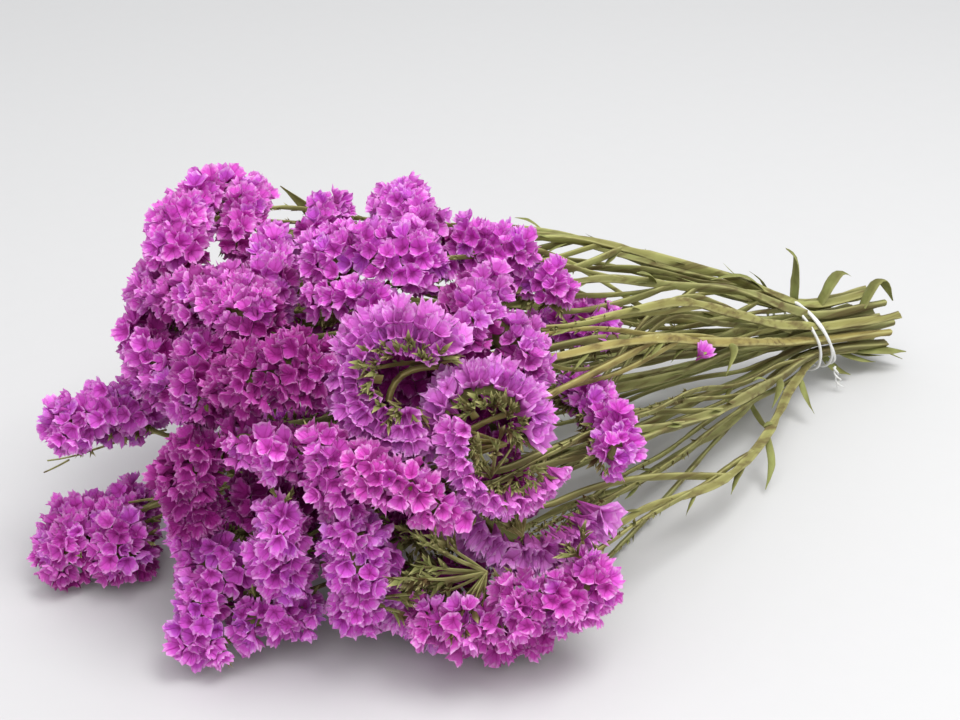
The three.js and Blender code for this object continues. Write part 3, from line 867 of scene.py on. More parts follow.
CALYX_DENSITY = 12.0  # tries in a square of the least distance, before those too close are dropped
FRONT_ROOM = 0.42  # calyxes grow where this share of a spike's breadth is left to them
BACK_ROOM = 0.3
CALYX_JITTER = 0.5  # how unevenly calyxes look about
TUFT_JITTER = 0.4
GROWN_SIZES = (0.78, 1.24)  # from the smallest to the largest
PROUD = 0.0028  # how far some stand out past their neighbours
HIDDEN_SHARE = 0.06  # how many are kept where none can be seen
OPEN_ENOUGH = 0.3  # and how open a place is where none is left out
CORE_SHARE = 0.42  # breadth of the dense green middle of a spike
CURL_CORE = 0.62  # a curled spike's is slimmer by this
CURL_SPACING = 0.66  # and its tufts stand closer
CORE_ROUGH = 260.0
CORE_UNEVEN = 0.2
REST_HEIGHT = 0.0003  # the lowest parts lie this far above the surface
REST_LIFT = 1.08
SQUEEZE_GAP = 0.00015  # between calyxes that are pressed together
SQUEEZES = 2
SQUEEZED_RIM = (0.2, 0.7)  # from the foot up, where a calyx starts to give way and where it does so fully
SAME_PLACE = 1e-5
CRINKLE = 0.0064  # how unevenly the paper lies, in metres at the rim
CRINKLE_SIZE = 200.0


def spray_grower():
    """Sets calyxes on the front of a guide and green spikelets on its back."""
    grower = Grower(
        "Statice spray", Calyxes="Collection", Calyx_Spacing="Float", Spikelets="Collection",
        Spikelet_Spacing="Float", Spikelet_Size="Float", Seed="Int", Shade="Float", Pale="Float",
        Flowering="Float", Core="Float", Paper="Material", Green="Material",
    )
    t, given = grower.tree, grower.inputs
    front, room = t.attribute("front"), t.attribute("room")
    showy = front.math("GREATER_THAN", 0.5) * room.math("GREATER_THAN", FRONT_ROOM)
    showy = showy * given["Flowering"].math("GREATER_THAN", 0.5)
    leafy = front.math("LESS_THAN", 0.5) * room.math("GREATER_THAN", BACK_ROOM)
    paper = planted(grower, showy, "Calyxes", given["Calyx Spacing"], CALYX_JITTER, 0, 1.0)
    paper = t.painted(squeezed(t, *paper), given["Paper"])
    size = given["Spikelet Size"]
    green = planted(grower, leafy, "Spikelets", given["Spikelet Spacing"], TUFT_JITTER, 50, size)[0]
    green = t.painted(green, given["Green"])
    whole = t.node("GeometryNodeJoinGeometry", None, {0: [core_of(grower), green, paper]})
    return grower.end(pressed_down(t, whole))


def ribbon_grower():
    """Stands calyxes on every point of a mesh and presses them together."""
    grower = Grower(
        "Statice ribbon", Shapes="Collection", Seed="Int", Shade="Float", Pale="Float", Finish="Material"
    )
    t, given = grower.tree, grower.inputs
    marks = {"shade": given["Shade"], "pale": given["Pale"]}
    points = t.node("GeometryNodeMeshToPoints", None, {"Mesh": given["Geometry"]})
    aim, size = t.attribute("aim", "FLOAT_VECTOR"), t.attribute("size")
    grown = standing(grower, points, aim, size, "Shapes", 0, marks)
    return grower.end(t.painted(pressed_down(t, squeezed(t, grown, points)), given["Finish"]))


def tuft_grower():
    """Stands a shape on every point of a mesh."""
    grower = Grower("Statice tufts", Shapes="Collection", Seed="Int", Finish="Material")
    t, given = grower.tree, grower.inputs
    aim, size = t.attribute("aim", "FLOAT_VECTOR"), t.attribute("size")
    grown = standing(grower, given["Geometry"], aim, size, "Shapes", 0, {"shade": 0.0, "pale": 0.0})
    return grower.end(t.painted(pressed_down(t, grown), given["Finish"]))


def planted(grower, where, shapes, spacing, jitter, seed, scale):
    """Instances of shapes spread over the guide, made real, and the points that they stand on."""
    t, given = grower.tree, grower.inputs
    sockets = {
        "Mesh": given["Geometry"],
        "Selection": where,
        "Distance Min": spacing,
        "Density Max": CALYX_DENSITY / (spacing * spacing),
        "Density Factor": t.attribute("open").ramp(0.0, OPEN_ENOUGH) * (1 - HIDDEN_SHARE) + HIDDEN_SHARE,
        "Seed": given["Seed"] + seed,
    }
    method = {"distribute_method": "POISSON"}
    points = t.node("GeometryNodeDistributePointsOnFaces", method, sockets, "Points")
    wobble = t.random((-jitter,) * 3, (jitter,) * 3, given["Seed"] + (seed + 1), "FLOAT_VECTOR")
    aim = t.attribute("aim", "FLOAT_VECTOR").vector("ADD", wobble)
    proud = t.random(-PROUD, PROUD, given["Seed"] + (seed + 6))
    points = t.moved(points, Offset=aim.vector("SCALE", proud))
    size = t.random(*GROWN_SIZES, given["Seed"] + (seed + 3)) * scale
    marks = {"shade": given["Shade"], "pale": given["Pale"]}
    return standing(grower, points, aim, size, shapes, seed, marks), points


def standing(grower, points, aim, size, shapes, seed, marks):
    """A shape picked for each point, stood along its aim, spun, marked and made real."""
    t, given = grower.tree, grower.inputs
    upright = t.node("FunctionNodeAlignRotationToVector", {"axis": "Z"}, {"Vector": aim})
    spin = t.random(0.0, math.tau, given["Seed"] + (seed + 2))
    spin = t.node("FunctionNodeAxisAngleToRotation", None, {"Axis": (0, 0, 1), "Angle": spin})
    spun = {"Rotation": upright, "Rotate By": spin}
    choice = {"Collection": given[shapes], "Separate Children": True, "Reset Children": True}
    sockets = {
        "Points": points,
        "Instance": t.node("GeometryNodeCollectionInfo", None, choice),
        "Pick Instance": True,
        "Instance Index": t.random(0, SHAPES - 1, given["Seed"] + (seed + 4), "INT"),
        "Rotation": t.node("FunctionNodeRotateRotation", {"rotation_space": "LOCAL"}, spun),
        "Scale": size,
    }
    grown = t.node("GeometryNodeInstanceOnPoints", None, sockets)
    tint = t.random(0.0, 1.0, given["Seed"] + (seed + 5))
    for name, value in {"tint": tint, **marks}.items():
        grown = t.store(grown, name, value, domain="INSTANCE")
    grown = t.store(grown, "home", t.place(), "FLOAT_VECTOR", "INSTANCE")
    return t.node("GeometryNodeRealizeInstances", None, {"Geometry": grown})


def squeezed(t, geometry, points):
    """Crinkles calyxes and presses them flat against each other where their mouths would cross."""
    crinkle = t.noise(t.place(), CRINKLE_SIZE, 1.0, colour=True)
    crinkle = crinkle.vector("SUBTRACT", (0.5, 0.5, 0.5)).vector("SCALE", t.attribute("rim") * CRINKLE)
    geometry = t.moved(geometry, Offset=crinkle)
    for _ in range(SQUEEZES):
        place, home = t.place(), t.attribute("home", "FLOAT_VECTOR")
        nearest = t.node("GeometryNodeSampleNearest", None, {"Geometry": points, "Sample Position": place})
        sockets = {"Geometry": points, "Value": t.place(), "Index": nearest}
        other = t.node("GeometryNodeSampleIndex", {"data_type": "FLOAT_VECTOR"}, sockets)
        apart = other.vector("SUBTRACT", home)
        towards = apart.vector("NORMALIZE")
        middle = other.vector("ADD", home).vector("SCALE", 0.5)
        depth = place.vector("SUBTRACT", middle).vector("DOT_PRODUCT", towards, out="Value") + SQUEEZE_GAP
        foreign = apart.vector("LENGTH", out="Value").math("GREATER_THAN", SAME_PLACE)
        push = depth.math("MAXIMUM", 0.0) * foreign * t.attribute("rim").ramp(*SQUEEZED_RIM)
        geometry = t.moved(geometry, Offset=towards.vector("SCALE", -push))
    return geometry


def core_of(grower):
    """The dense green middle of a spike, drawn in from its guide."""
    t, given = grower.tree, grower.inputs
    root, place = t.attribute("root", "FLOAT_VECTOR"), t.place()
    share = t.noise(place, CORE_ROUGH, 2.0) * CORE_UNEVEN + (given["Core"] - CORE_UNEVEN / 2)
    drawn = place.vector("SUBTRACT", root).vector("SCALE", share).vector("ADD", root)
    core = t.moved(given["Geometry"], Position=drawn)
    return t.painted(t.store(core, "tip", 0.0), given["Green"])


def pressed_down(t, geometry):
    """Bends what would go through the surface up onto it."""
    height = t.node("ShaderNodeSeparateXYZ", None, {"Vector": t.place()}, "Z")
    lift = (REST_HEIGHT - height).math("MAXIMUM", 0.0)
    return t.moved(geometry, Offset=t.node("ShaderNodeCombineXYZ", None, {"Z": lift * REST_LIFT}))


# ---- Stems ----

RAIL_STEP = 0.007
SMOOTHINGS = 8
NODE_GAP = 0.07  # along a stem from one joint to the next
JOINT_WINGS = 0.35  # how far the wings stand out at a joint
JOINT_SHARE = 0.2  # and how soon they are whole again
WANDER = 0.008  # how far a stem may stray from its even line
WANDER_SIZE = 11.0
WANDER_APART = (0.0, 31.4, 67.8)  # where along the noise each way of the straying is read
WANDER_NEXT = 7.3  # and how far on the next line reads it
TIE_CALM = 0.06  # it strays only this far from the tie
TIE_STILL = 0.012
CALM_STOPS = 8
FORK_BACK = 0.004
TWIST = 5.0
TWIST_FROM = 0.2
TURN_WAVE = 0.05
TURN_NEXT = 1.9
BRANCH_SWELL = 1.15
STRAY_TAPER = (1.15, 0.4)  # breadth at the root, and what is lost of it
THIN_TAPER = (1.3, 0.5)
OFFSHOOT_RADIUS = 0.0016
OFFSHOOT_ROOTS = (0.06, 0.55)  # share of the way along the bunch where a side branch may leave
OFFSHOOT_DEPTH = 0.4
OFFSHOOT_BULGE = (-0.1, 0.03)
OFFSHOOT_SAG = 0.05
OFFSHOOT_STOPS = ((0.3, 0.6), (0.7, 1.0))  # share of its way, and of its bulge there
OFFSHOOT_PATHS = 50  # how many different ways they stray
RAY_RADIUS = 0.0009
RAY_REACH = (0.75, 1.1)
RAY_SWING = 0.1
RAY_LIFT = 0.3
RAY_BOW = (-0.05, 0.12)
FAN_STEP = 0.004
BUD_GAP = 0.005  # along a stalk from one bud to the next
BUDS_FROM = 0.4  # share of a stalk where its buds begin
BUD_LEANS = (0.2, 0.8)
BUD_SIZES = (0.75, 1.2)
FAN_BUD = 1.35
SIDE_BUD = 0.8


def axis_at(x):
    """The middle of the bundle."""
    slope = -RISE if x < 0 else -DROP
    return Vector((x, TIE_MIDDLE.y + SIDE_LEAN * min(x, 0), TIE_MIDDLE.z + slope * x))


def slot_offset(slot):
    """Where a stem stands in the bundle."""
    if slot[0] == "a":
        return Vector((0, 0, 0))
    radius, first, count = INNER_RING if slot[0] == "b" else OUTER_RING
    angle = math.radians(first + (int(slot[1:]) - 1) * 360 / count)
    return Vector((0, math.cos(angle) * radius, math.sin(angle) * radius))


def cut_draw(seed):
    """The same even draw as the solid stem is cut by."""
    return ((seed * 1664525 + 1013904223) & 0xFFFFFFFF) / 4294967296


def seat_of(one):
    """Where a branch comes in behind its spike, and where it ends in it."""
    shares = one.stations()
    if one.point(0).x <= one.point(1).x:
        shares = shares[::-1]
    share = shares[min(1, len(shares) - 1)]
    point, along, facing = one.point(share), one.tangent(share), one.facing(share)
    lead = along * math.copysign(one.reach * ENTRY_LEAD, along.x)
    entry = point - facing * (one.reach * ENTRY_DEPTH) + lead
    return entry, point - facing * (one.reach * SEAT_DEPTH), facing


def curl_depth(one):
    """How far behind the arc of a curled spike its branch runs."""
    return one.reach * BACK_REACH + CURL_DEPTH


def curl_stops(one):
    """The stops of the branch that runs along the back of a curled spike."""
    stops = [one.point(share) - one.facing(share) * curl_depth(one) for share in one.stations()][::3]
    return stops if stops[0].x > stops[-1].x else stops[::-1]


def towards_spike(start, one):
    """The stops from a place on a stem to a spike."""
    entry, seat, facing = seat_of(one)
    last = curl_stops(one) if one.curled else [entry, seat]
    way = last[0] - start
    return [start + way * SWING_SHARE - facing * (SWING_DEPTH * way.length), *last]


def main_stops(slot, one):
    """The stops of a stem, from its cut end to its first spike."""
    offset = slot_offset(slot)
    base = towards_spike(axis_at(0), one)[1]
    cut = CUT_LENGTH + CUT_SPREAD * (2 * cut_draw(stem_seed(slot)) - 1)
    cut += CUT_RAGGED * random.Random(7 * stem_seed(slot)).uniform(CUT_SHORTEST, 1)
    start = axis_at(-TIE_HALF) + offset
    end = axis_at(cut) + offset * CUT_FLARE
    end.z = max(end.z, STEM_RADIUS)
    stops = [end, axis_at(TIE_HALF) + offset, start]
    outward = (base - axis_at(base.x)) * ARCHING
    for share in ARCH_STOPS:
        stops.append(start.lerp(base, share) + outward * math.sin(math.pi * share))
    return stops + towards_spike(stops[-1], one)


def smooth_line(stops, step=RAIL_STEP):
    """A smooth line through the stops, with even steps."""
    ends = [stops[0] * 2 - stops[1], *stops, stops[-1] * 2 - stops[-2]]
    line = []
    for before, a, b, after in zip(ends, ends[1:], ends[2:], ends[3:]):
        count = max(1, round((b - a).length / step))
        line += [catmull(before, a, b, after, i / count) for i in range(count)]
    line.append(stops[-1])
    for _ in range(SMOOTHINGS):
        inner = [(p + q * 2 + r) / 4 for p, q, r in zip(line, line[1:], line[2:])]
        line = [line[0], *inner, line[-1]]
    return line


def catmull(p0, p1, p2, p3, share):
    """A point of a centripetal spline between p1 and p2."""
    knots = [0.0]
    for a, b in ((p0, p1), (p1, p2), (p2, p3)):
        knots.append(knots[-1] + max((b - a).length, 1e-6) ** 0.5)
    at = knots[1] + (knots[2] - knots[1]) * share

    def mix(a, b, low, high):
        return a.lerp(b, (at - low) / (high - low))

    a1, a2, a3 = mix(p0, p1, *knots[:2]), mix(p1, p2, *knots[1:3]), mix(p2, p3, *knots[2:])
    b1, b2 = mix(a1, a2, knots[0], knots[2]), mix(a2, a3, knots[1], knots[3])
    return mix(b1, b2, knots[1], knots[2])


def point_at(line, x):
    """The first point of a line as far along the bunch as x."""
    return next((point for point in line if point.x < x), line[-1])


class Rails:
    """Lines to sweep a section along, with their thickness and how far the wings stand out."""

    def __init__(self):
        self.points, self.edges, self.thick, self.wing, self.tilt = [], [], [], [], []

    def add(self, line, thick, wing=None, tilt=None, loop=False):
        first = len(self.points)
        count = len(line)
        self.points += [point + PLAN_ORIGIN for point in line]
        self.edges += [(first + i, first + i + 1) for i in range(count - 1)]
        if loop:
            self.edges.append((first + count - 1, first))
        self.thick += thick
        self.wing += wing or [1.0] * count
        self.tilt += tilt or [0.0] * count

    def add_winged(self, line, radius, taper, draw):
        """A winged line that narrows evenly: its breadth at the root, and what is lost of it."""
        whole, lost = taper
        count = len(line)
        thick = [radius * (whole - lost * i / count) for i in range(count)]
        self.add(line, thick, wing_profile(count, draw))

    def made(self, name):
        attributes = {"thick": self.thick, "wing": self.wing, "tilt": self.tilt}
        return new_object(name, self.points, self.edges, [], attributes)


def wing_profile(count, draw):
    """How far the wings stand out along a stem: they narrow at each joint."""
    start = draw.uniform(0, NODE_GAP)
    wings = []
    for i in range(count):
        place = (start + i * RAIL_STEP) % NODE_GAP / NODE_GAP
        near = smoothstep(min(place, 1 - place), 0.0, JOINT_SHARE)
        wings.append(JOINT_WINGS + (1 - JOINT_WINGS) * near)
    return wings


def wandering(line, seed):
    """Lets a line stray gently between the tie, or its root, and its end."""
    strayed = []
    last = len(line) - 1
    for i, point in enumerate(line):
        calm = smoothstep((line[0] - point).length, 0.0, TIE_CALM) * smoothstep(last - i, 0, CALM_STOPS)
        if abs(point.x) < TIE_CALM:
            calm *= smoothstep(abs(point.x), TIE_STILL, TIE_CALM)
        place = point * WANDER_SIZE + Vector((WANDER_NEXT * seed, 0, 0))
        drift = Vector([noise.noise(place + Vector((0, apart, 0))) for apart in WANDER_APART])
        strayed.append(point + drift * (WANDER * calm))
    return strayed


def stem_lines(slot):
    """The main line of a stem, and the line of each of its branches."""
    spikes = [spikes[0] for spikes in SPRAYS[slot].values()]
    main = wandering(smooth_line(main_stops(slot, spikes[0])), stem_seed(slot))
    branches = []
    for one in spikes[1:]:
        fork = point_at(main, seat_of(one)[0].x * FORK_SHARE)
        stops = [fork, *towards_spike(fork, one)]
        stops[1] = stops[1] + (main[0] - main[-1]).normalized() * FORK_BACK
        branches.append(smooth_line(stops))
    for one in spikes:
        if one.curled:
            stations = one.stations()
            share = stations[3 * (len(stations) // 6)]
            root, facing = one.point(share), one.facing(share)
            ends = [root - facing * curl_depth(one), root - facing * one.reach * SEAT_DEPTH]
            branches.append(smooth_line(ends))
    return main, branches


def offshoot_lines(slot, main):
    """Thin side branches that leave a stem further back and reach up behind each of its spikes."""
    draw = random.Random(stem_seed(slot))
    lines = []
    for spikes in SPRAYS[slot].values():
        for one in spikes:
            facing = one.facing(0.5)
            end = one.point(0.5) - facing * one.reach * OFFSHOOT_DEPTH
            root = point_at(main, end.x * draw.uniform(*OFFSHOOT_ROOTS))
            way = end - root
            bulge = facing * draw.uniform(*OFFSHOOT_BULGE)
            bulge += Vector((0, 0, draw.uniform(-OFFSHOOT_SAG, OFFSHOOT_SAG)))
            stops = [root + way * share + bulge * way.length * swing for share, swing in OFFSHOOT_STOPS]
            line = smooth_line([root, *stops, end])
            lines.append(wandering(line, draw.random() * OFFSHOOT_PATHS))
    return lines


def fan_rays(fan, draw):
    """Stalks that spread from one point like the ribs of a fan."""
    node, way, spread, count, reach = fan
    node, way = Vector(node), Vector(way).normalized()
    facing = out_of_mass(node)
    facing = (facing - way * facing.dot(way)).normalized()
    rays = []
    for i in range(count):
        angle = spread * ((i + 0.5) / count - 0.5) + draw.uniform(-RAY_SWING, RAY_SWING)
        out = Matrix.Rotation(angle, 3, facing) @ way + facing * draw.uniform(-RAY_LIFT, RAY_LIFT)
        end = node + out * (reach * draw.uniform(*RAY_REACH))
        bow = facing * (reach * draw.uniform(*RAY_BOW))
        rays.append(smooth_line([node, node.lerp(end, 0.5) + bow, end], FAN_STEP))
    return rays


def slot_fans(slot):
    """The stalks of every fan of a stem."""
    draw = random.Random(200 + stem_seed(slot))
    return [ray for fan in FANS.get(slot, []) for ray in fan_rays(fan, draw)]


def stem_rails(slot):
    """The rails of a stem: its main line, branches, crossing stalks, side branches and fans."""
    draw = random.Random(stem_seed(slot))
    rails = Rails()
    main, branches = stem_lines(slot)
    count = len(main)
    taper = [1 - STEM_TAPER_LOSS * smoothstep(i / count, STEM_TAPER_FROM, 1) for i in range(count)]
    thick = [STEM_RADIUS * STEM_SLIM * share for share in taper]
    twist = draw.uniform(-1, 1) * TWIST
    wave = [math.sin(TURN_WAVE * i + stem_seed(slot) * TURN_NEXT) for i in range(count)]
    turn = [twist * max(0, i / count - TWIST_FROM) + wave[i] for i in range(count)]
    rails.add(main, thick, wing_profile(count, draw), turn)
    for line in branches:
        rails.add_winged(line, BRANCH_SWELL * BRANCH_RADIUS, (1, BRANCH_TAPER), draw)
    for stops, radius in STRAY_STALKS.get(slot, []):
        rails.add_winged(smooth_line([Vector(stop) for stop in stops]), radius, STRAY_TAPER, draw)
    for line in offshoot_lines(slot, main):
        rails.add_winged(line, OFFSHOOT_RADIUS, THIN_TAPER, draw)
    for line in slot_fans(slot):
        rails.add_winged(line, RAY_RADIUS, THIN_TAPER, draw)
    return rails


def bud_points(lines, size, draw):
    """Place, aim and size of each bud along the outer part of some stalks."""
    found = []
    for line in lines:
        bare = sum((b - a).length for a, b in zip(line, line[1:])) * BUDS_FROM
        gone = draw.uniform(-0.5, 0.5) * BUD_GAP - bare
        for a, b in zip(line, line[1:]):
            gone += (b - a).length
            if gone < BUD_GAP and b is not line[-1]:
                continue
            gone -= BUD_GAP
            along = (b - a).normalized()
            aim = along + any_side(along, draw) * draw.uniform(*BUD_LEANS)
            found.append((b + PLAN_ORIGIN, aim.normalized(), size * draw.uniform(*BUD_SIZES)))
    return found


def bud_mesh(slot):
    """Points for the buds of a stem: on its fans and along its side branches."""
    draw = random.Random(300 + stem_seed(slot))
    found = bud_points(slot_fans(slot), FAN_BUD, draw)
    found += bud_points(offshoot_lines(slot, stem_lines(slot)[0]), SIDE_BUD, draw)
    points, aims, scales = zip(*found)
    return new_object(f"buds_{slot}", points, [], [], {"aim": aims, "size": scales})


# ---- The ribbons of calyxes round curled spikes ----

RIBBON_GAP = 0.0038  # along a curled spike from one row of calyxes to the next
RIBBON_REACH = (0.8, 1.06)
RIBBON_STRAY = 0.001
RIBBON_LEAN = 0.2
RIBBON_SLANT = 0.22
RIBBON_SIZES = (0.82, 1.12)
FAN_RANKS = (  # across, out along the curl, lean to the open side and size, in reaches
    (-0.5, 0.95, -0.35, 1.3),
    (-0.05, 1.05, 0.0, 1.6),
    (0.4, 1.0, 0.25, 1.75),
    (0.7, 0.72, 0.7, 1.4),
)
FRILL_RANKS = (*FAN_RANKS, (0.85, 0.15, 1.3, 1.1), (0.7, -0.4, 2.2, 0.95))
FRILLED = ("middle_curl",)  # sprays whose curl is ruffled right across
RIBBON_LOOKS = {  # size, how much further it leans to the open side, size of its tufts, and a shift
    "front_smile": (1.15, 0.9, 0.5, (-0.01, -0.01, 0.009)),
    "front_fan": (1.15, 0.8, 0.8, (-0.003, -0.008, 0)),
    "front_curl": (0.66, 0.3, 0.8, (0.005, -0.003, 0.008)),
    "middle_arch": (1.05, 0.25, 1.1, (0, 0, 0)),
    "middle_curl": (1.0, 0.45, 1.1, (0, 0, 0)),
}


def ribbon_mesh(name, spikes):
    """Points for the close rows of calyxes round a curled spike."""
    draw = random.Random(500 + len(name))
    points, aims, scales = [], [], []
    ranks = FRILL_RANKS if name in FRILLED else FAN_RANKS
    growth, turned, _, shift = RIBBON_LOOKS[name]
    for one in spikes:
        rows = round(one.length / RIBBON_GAP)
        for row in range(-1, rows + 2):
            share = row / rows
            root, out, along = one.point(share), one.outward(share), one.tangent(share)
            across = along.cross(out)
            if across.dot(out_of_mass(root)) < 0:
                across = -across
            for aside, far, lean, size in ranks:
                way = out * far + across * aside
                place = root + way * one.reach * draw.uniform(*RIBBON_REACH)
                place += along * draw.gauss(0, RIBBON_STRAY)
                points.append(place + PLAN_ORIGIN + Vector(shift))
                aim = out + across * (lean + turned + draw.gauss(0, RIBBON_LEAN))
                aim += along * draw.gauss(0, RIBBON_SLANT)
                aims.append(aim.normalized())
                scales.append(size * growth * draw.uniform(*RIBBON_SIZES))
    return new_object(f"flowers_{name}", points, [], [], {"aim": aims, "size": scales})


# ---- Leaves and bracts ----

LEAF_STEPS = 10
LEAF_CURL = 0.8
LEAF_ROOT = 0.35  # breadth of a blade at its root, as a share of its middle
LEAF_FULL = (0.95, 0.12)  # how its breadth runs from the root to the middle
LEAF_ROUND = 0.8
LEAF_POINT = 0.75
BRACT_PLACES = (0.3, 0.42, 0.55, 0.68, 0.8)  # along the stem itself
FORK_BRACTS = (0.02,)  # and along a branch
BRACT_LENGTHS = (0.012, 0.022)
BRACT_WIDTHS = (0.0022, 0.004)
BRACT_LEADS = (0.3, 0.7)
BRACT_BENDS = (-0.2, 0.9)
BRACT_SHARES = (0.6, 0.5)  # of its length, before and after the elbow


def blade_thickness(width, steps):
    """Half breadths of a blade, from its narrow root past its middle to its tip."""
    found = []
    for share in (i / steps for i in range(steps + 1)):
        full = math.sin(math.pi * min(1, share * LEAF_FULL[0] + LEAF_FULL[1])) ** LEAF_ROUND
        swell = LEAF_ROOT + (1 - LEAF_ROOT) * full
        found.append(width / 2 * swell * (1 - LEAF_POINT * share**5))
    return found


def add_blade(rails, start, lead, bend, width, draw):
    """A dried blade that leaves a stem and curls over."""
    out, over = Vector(lead), Vector(bend)
    elbow = start + out
    stops = [start, start + out * 0.5, elbow, elbow + over * 0.6, elbow + over]
    line = smooth_line(stops, (out.length + over.length) / LEAF_STEPS)
    steps = len(line) - 1
    curl = draw.uniform(-LEAF_CURL, LEAF_CURL)
    tilt = [curl * i / steps for i in range(steps + 1)]
    rails.add(line, blade_thickness(width, steps), None, tilt)


def leaf_rails(slot):
    """The leaves of a stem, and the bracts along it and at its forks."""
    draw = random.Random(100 + stem_seed(slot))
    rails = Rails()
    main, branches = stem_lines(slot)
    for root, lead, bend, width in LEAVES.get(slot, []):
        add_blade(rails, point_at(main, root), lead, bend, width, draw)
    for line in branches + [main]:
        along = (line[-1] - line[0]).normalized()
        for place in BRACT_PLACES if line is main else FORK_BRACTS:
            root = line[int(place * (len(line) - 1))]
            side = any_side(along, draw)
            length = draw.uniform(*BRACT_LENGTHS)
            lead = (along + side * draw.uniform(*BRACT_LEADS)) * length * BRACT_SHARES[0]
            bend = (along + side * draw.uniform(*BRACT_BENDS)) * length * BRACT_SHARES[1]
            add_blade(rails, root, lead, bend, draw.uniform(*BRACT_WIDTHS), draw)
    return rails


# ---- The elastic band ----

BAND_TURNS = ((-0.42, -0.0185), (-0.5, -0.0055), (-0.3, -0.011))  # lean of each strand, and its shift
BAND_CROSS = 0.003
BAND_LOOSE = 0.0005  # how far the strands stand out past half the height of the solid ring
BAND_SAG = 0.012
BAND_RIPPLE = 0.008
BAND_STEPS = 72
BAND_THICKNESS = 0.001
BAND_UNEVEN = 0.08
TAIL_PLACE = Vector((0.001, -0.024, 0.019))  # the knotted end of the band, in the plan
TAIL_FALL = (0.004, -0.004, -0.015)
TAIL_CURL = 0.0017
TAIL_OPEN = 0.4
TAIL_TURN = 9
TAIL_TAPER = (0.8, 0.45)
TAIL_STEPS = 30


def band_rails():
    """Strands wound round the bundle as far out as the solid ring, and the two ends at the knot."""
    rails = Rails()
    radius = (BAND_HIGH.z - BAND_LOW.z) / 2 + BAND_LOOSE
    centre = (BAND_LOW + BAND_HIGH) / 2 - PLAN_ORIGIN
    for turn, (lean, shift) in enumerate(BAND_TURNS):
        line = []
        for i in range(BAND_STEPS):
            angle = math.tau * i / BAND_STEPS
            wobble = 1 + BAND_SAG * math.sin(3 * angle + turn)
            wobble += BAND_RIPPLE * math.sin(7 * angle + 2 * turn)
            out = Vector((0, math.cos(angle), math.sin(angle))) * (radius * wobble)
            out.x = lean * out.z + shift + BAND_CROSS * math.sin(angle + 2 * turn)
            line.append(centre + out)
        thick = [BAND_THICKNESS * (1 + BAND_UNEVEN * math.sin(5 * i)) for i in range(BAND_STEPS)]
        rails.add(line, thick, loop=True)
    for start in (0, math.pi):
        shares = [i / (TAIL_STEPS - 1) for i in range(TAIL_STEPS)]
        line = [tail_point(start, share) for share in shares]
        whole, lost = TAIL_TAPER
        rails.add(line, [BAND_THICKNESS * (whole - lost * share) for share in shares])
    return rails


def tail_point(start, share):
    """A point of one of the two ends, which twist round each other."""
    turn = start + TAIL_TURN * share
    curl = Vector((math.cos(turn), math.sin(turn), 0)) * TAIL_CURL * (TAIL_OPEN + share)
    return TAIL_PLACE + curl + Vector([way * share for way in TAIL_FALL])


# ---- Sweeping a section along rails ----

WINGS = 3
WING_STEP = 360 / WINGS
WING_CORE = 0.66  # radius of a stem between its wings
WING_CORNERS = (  # radius and angle in degrees
    (WING_CORE, -0.24 * WING_STEP),
    (1.0, -5),
    (1.0, 5),
    (WING_CORE, 0.24 * WING_STEP),
    (WING_CORE, 0.5 * WING_STEP),
)
BLADE_CORNERS = (
    (0, -0.2), (0.5, -0.1), (1, 0.12), (0.98, 0.17), (0.5, -0.02),
    (0, -0.1), (-0.5, -0.02), (-0.98, 0.17), (-1, 0.12), (-0.5, -0.1),
)
STRAND_SIDES = 8
SECTION_EDGE = (0.6, 1.0)  # from the middle of a section, where its edge starts and is whole
JOINT_PULL = 0.5  # how far wings are drawn in at a joint
EDGE_WAVE = 0.85  # share of the waves that only edges have
WAVE_NEXT = 1.7


def section_curve(name, points):
    """A closed section to sweep, one unit in radius."""
    curve = bpy.data.curves.new(name, "CURVE")
    curve.dimensions = "2D"
    line = curve.splines.new("POLY")
    line.points.add(len(points) - 1)
    for point, (x, y) in zip(line.points, points):
        point.co = (x, y, 0, 1)
    line.use_cyclic_u = True
    return bpy.data.objects.new(name, curve)


def winged_section():
    """A round stem with thin wings."""
    return [polar(radius, i * WING_STEP + angle) for i in range(WINGS) for radius, angle in WING_CORNERS]


def round_section():
    return [polar(1, 360 * i / STRAND_SIDES) for i in range(STRAND_SIDES)]


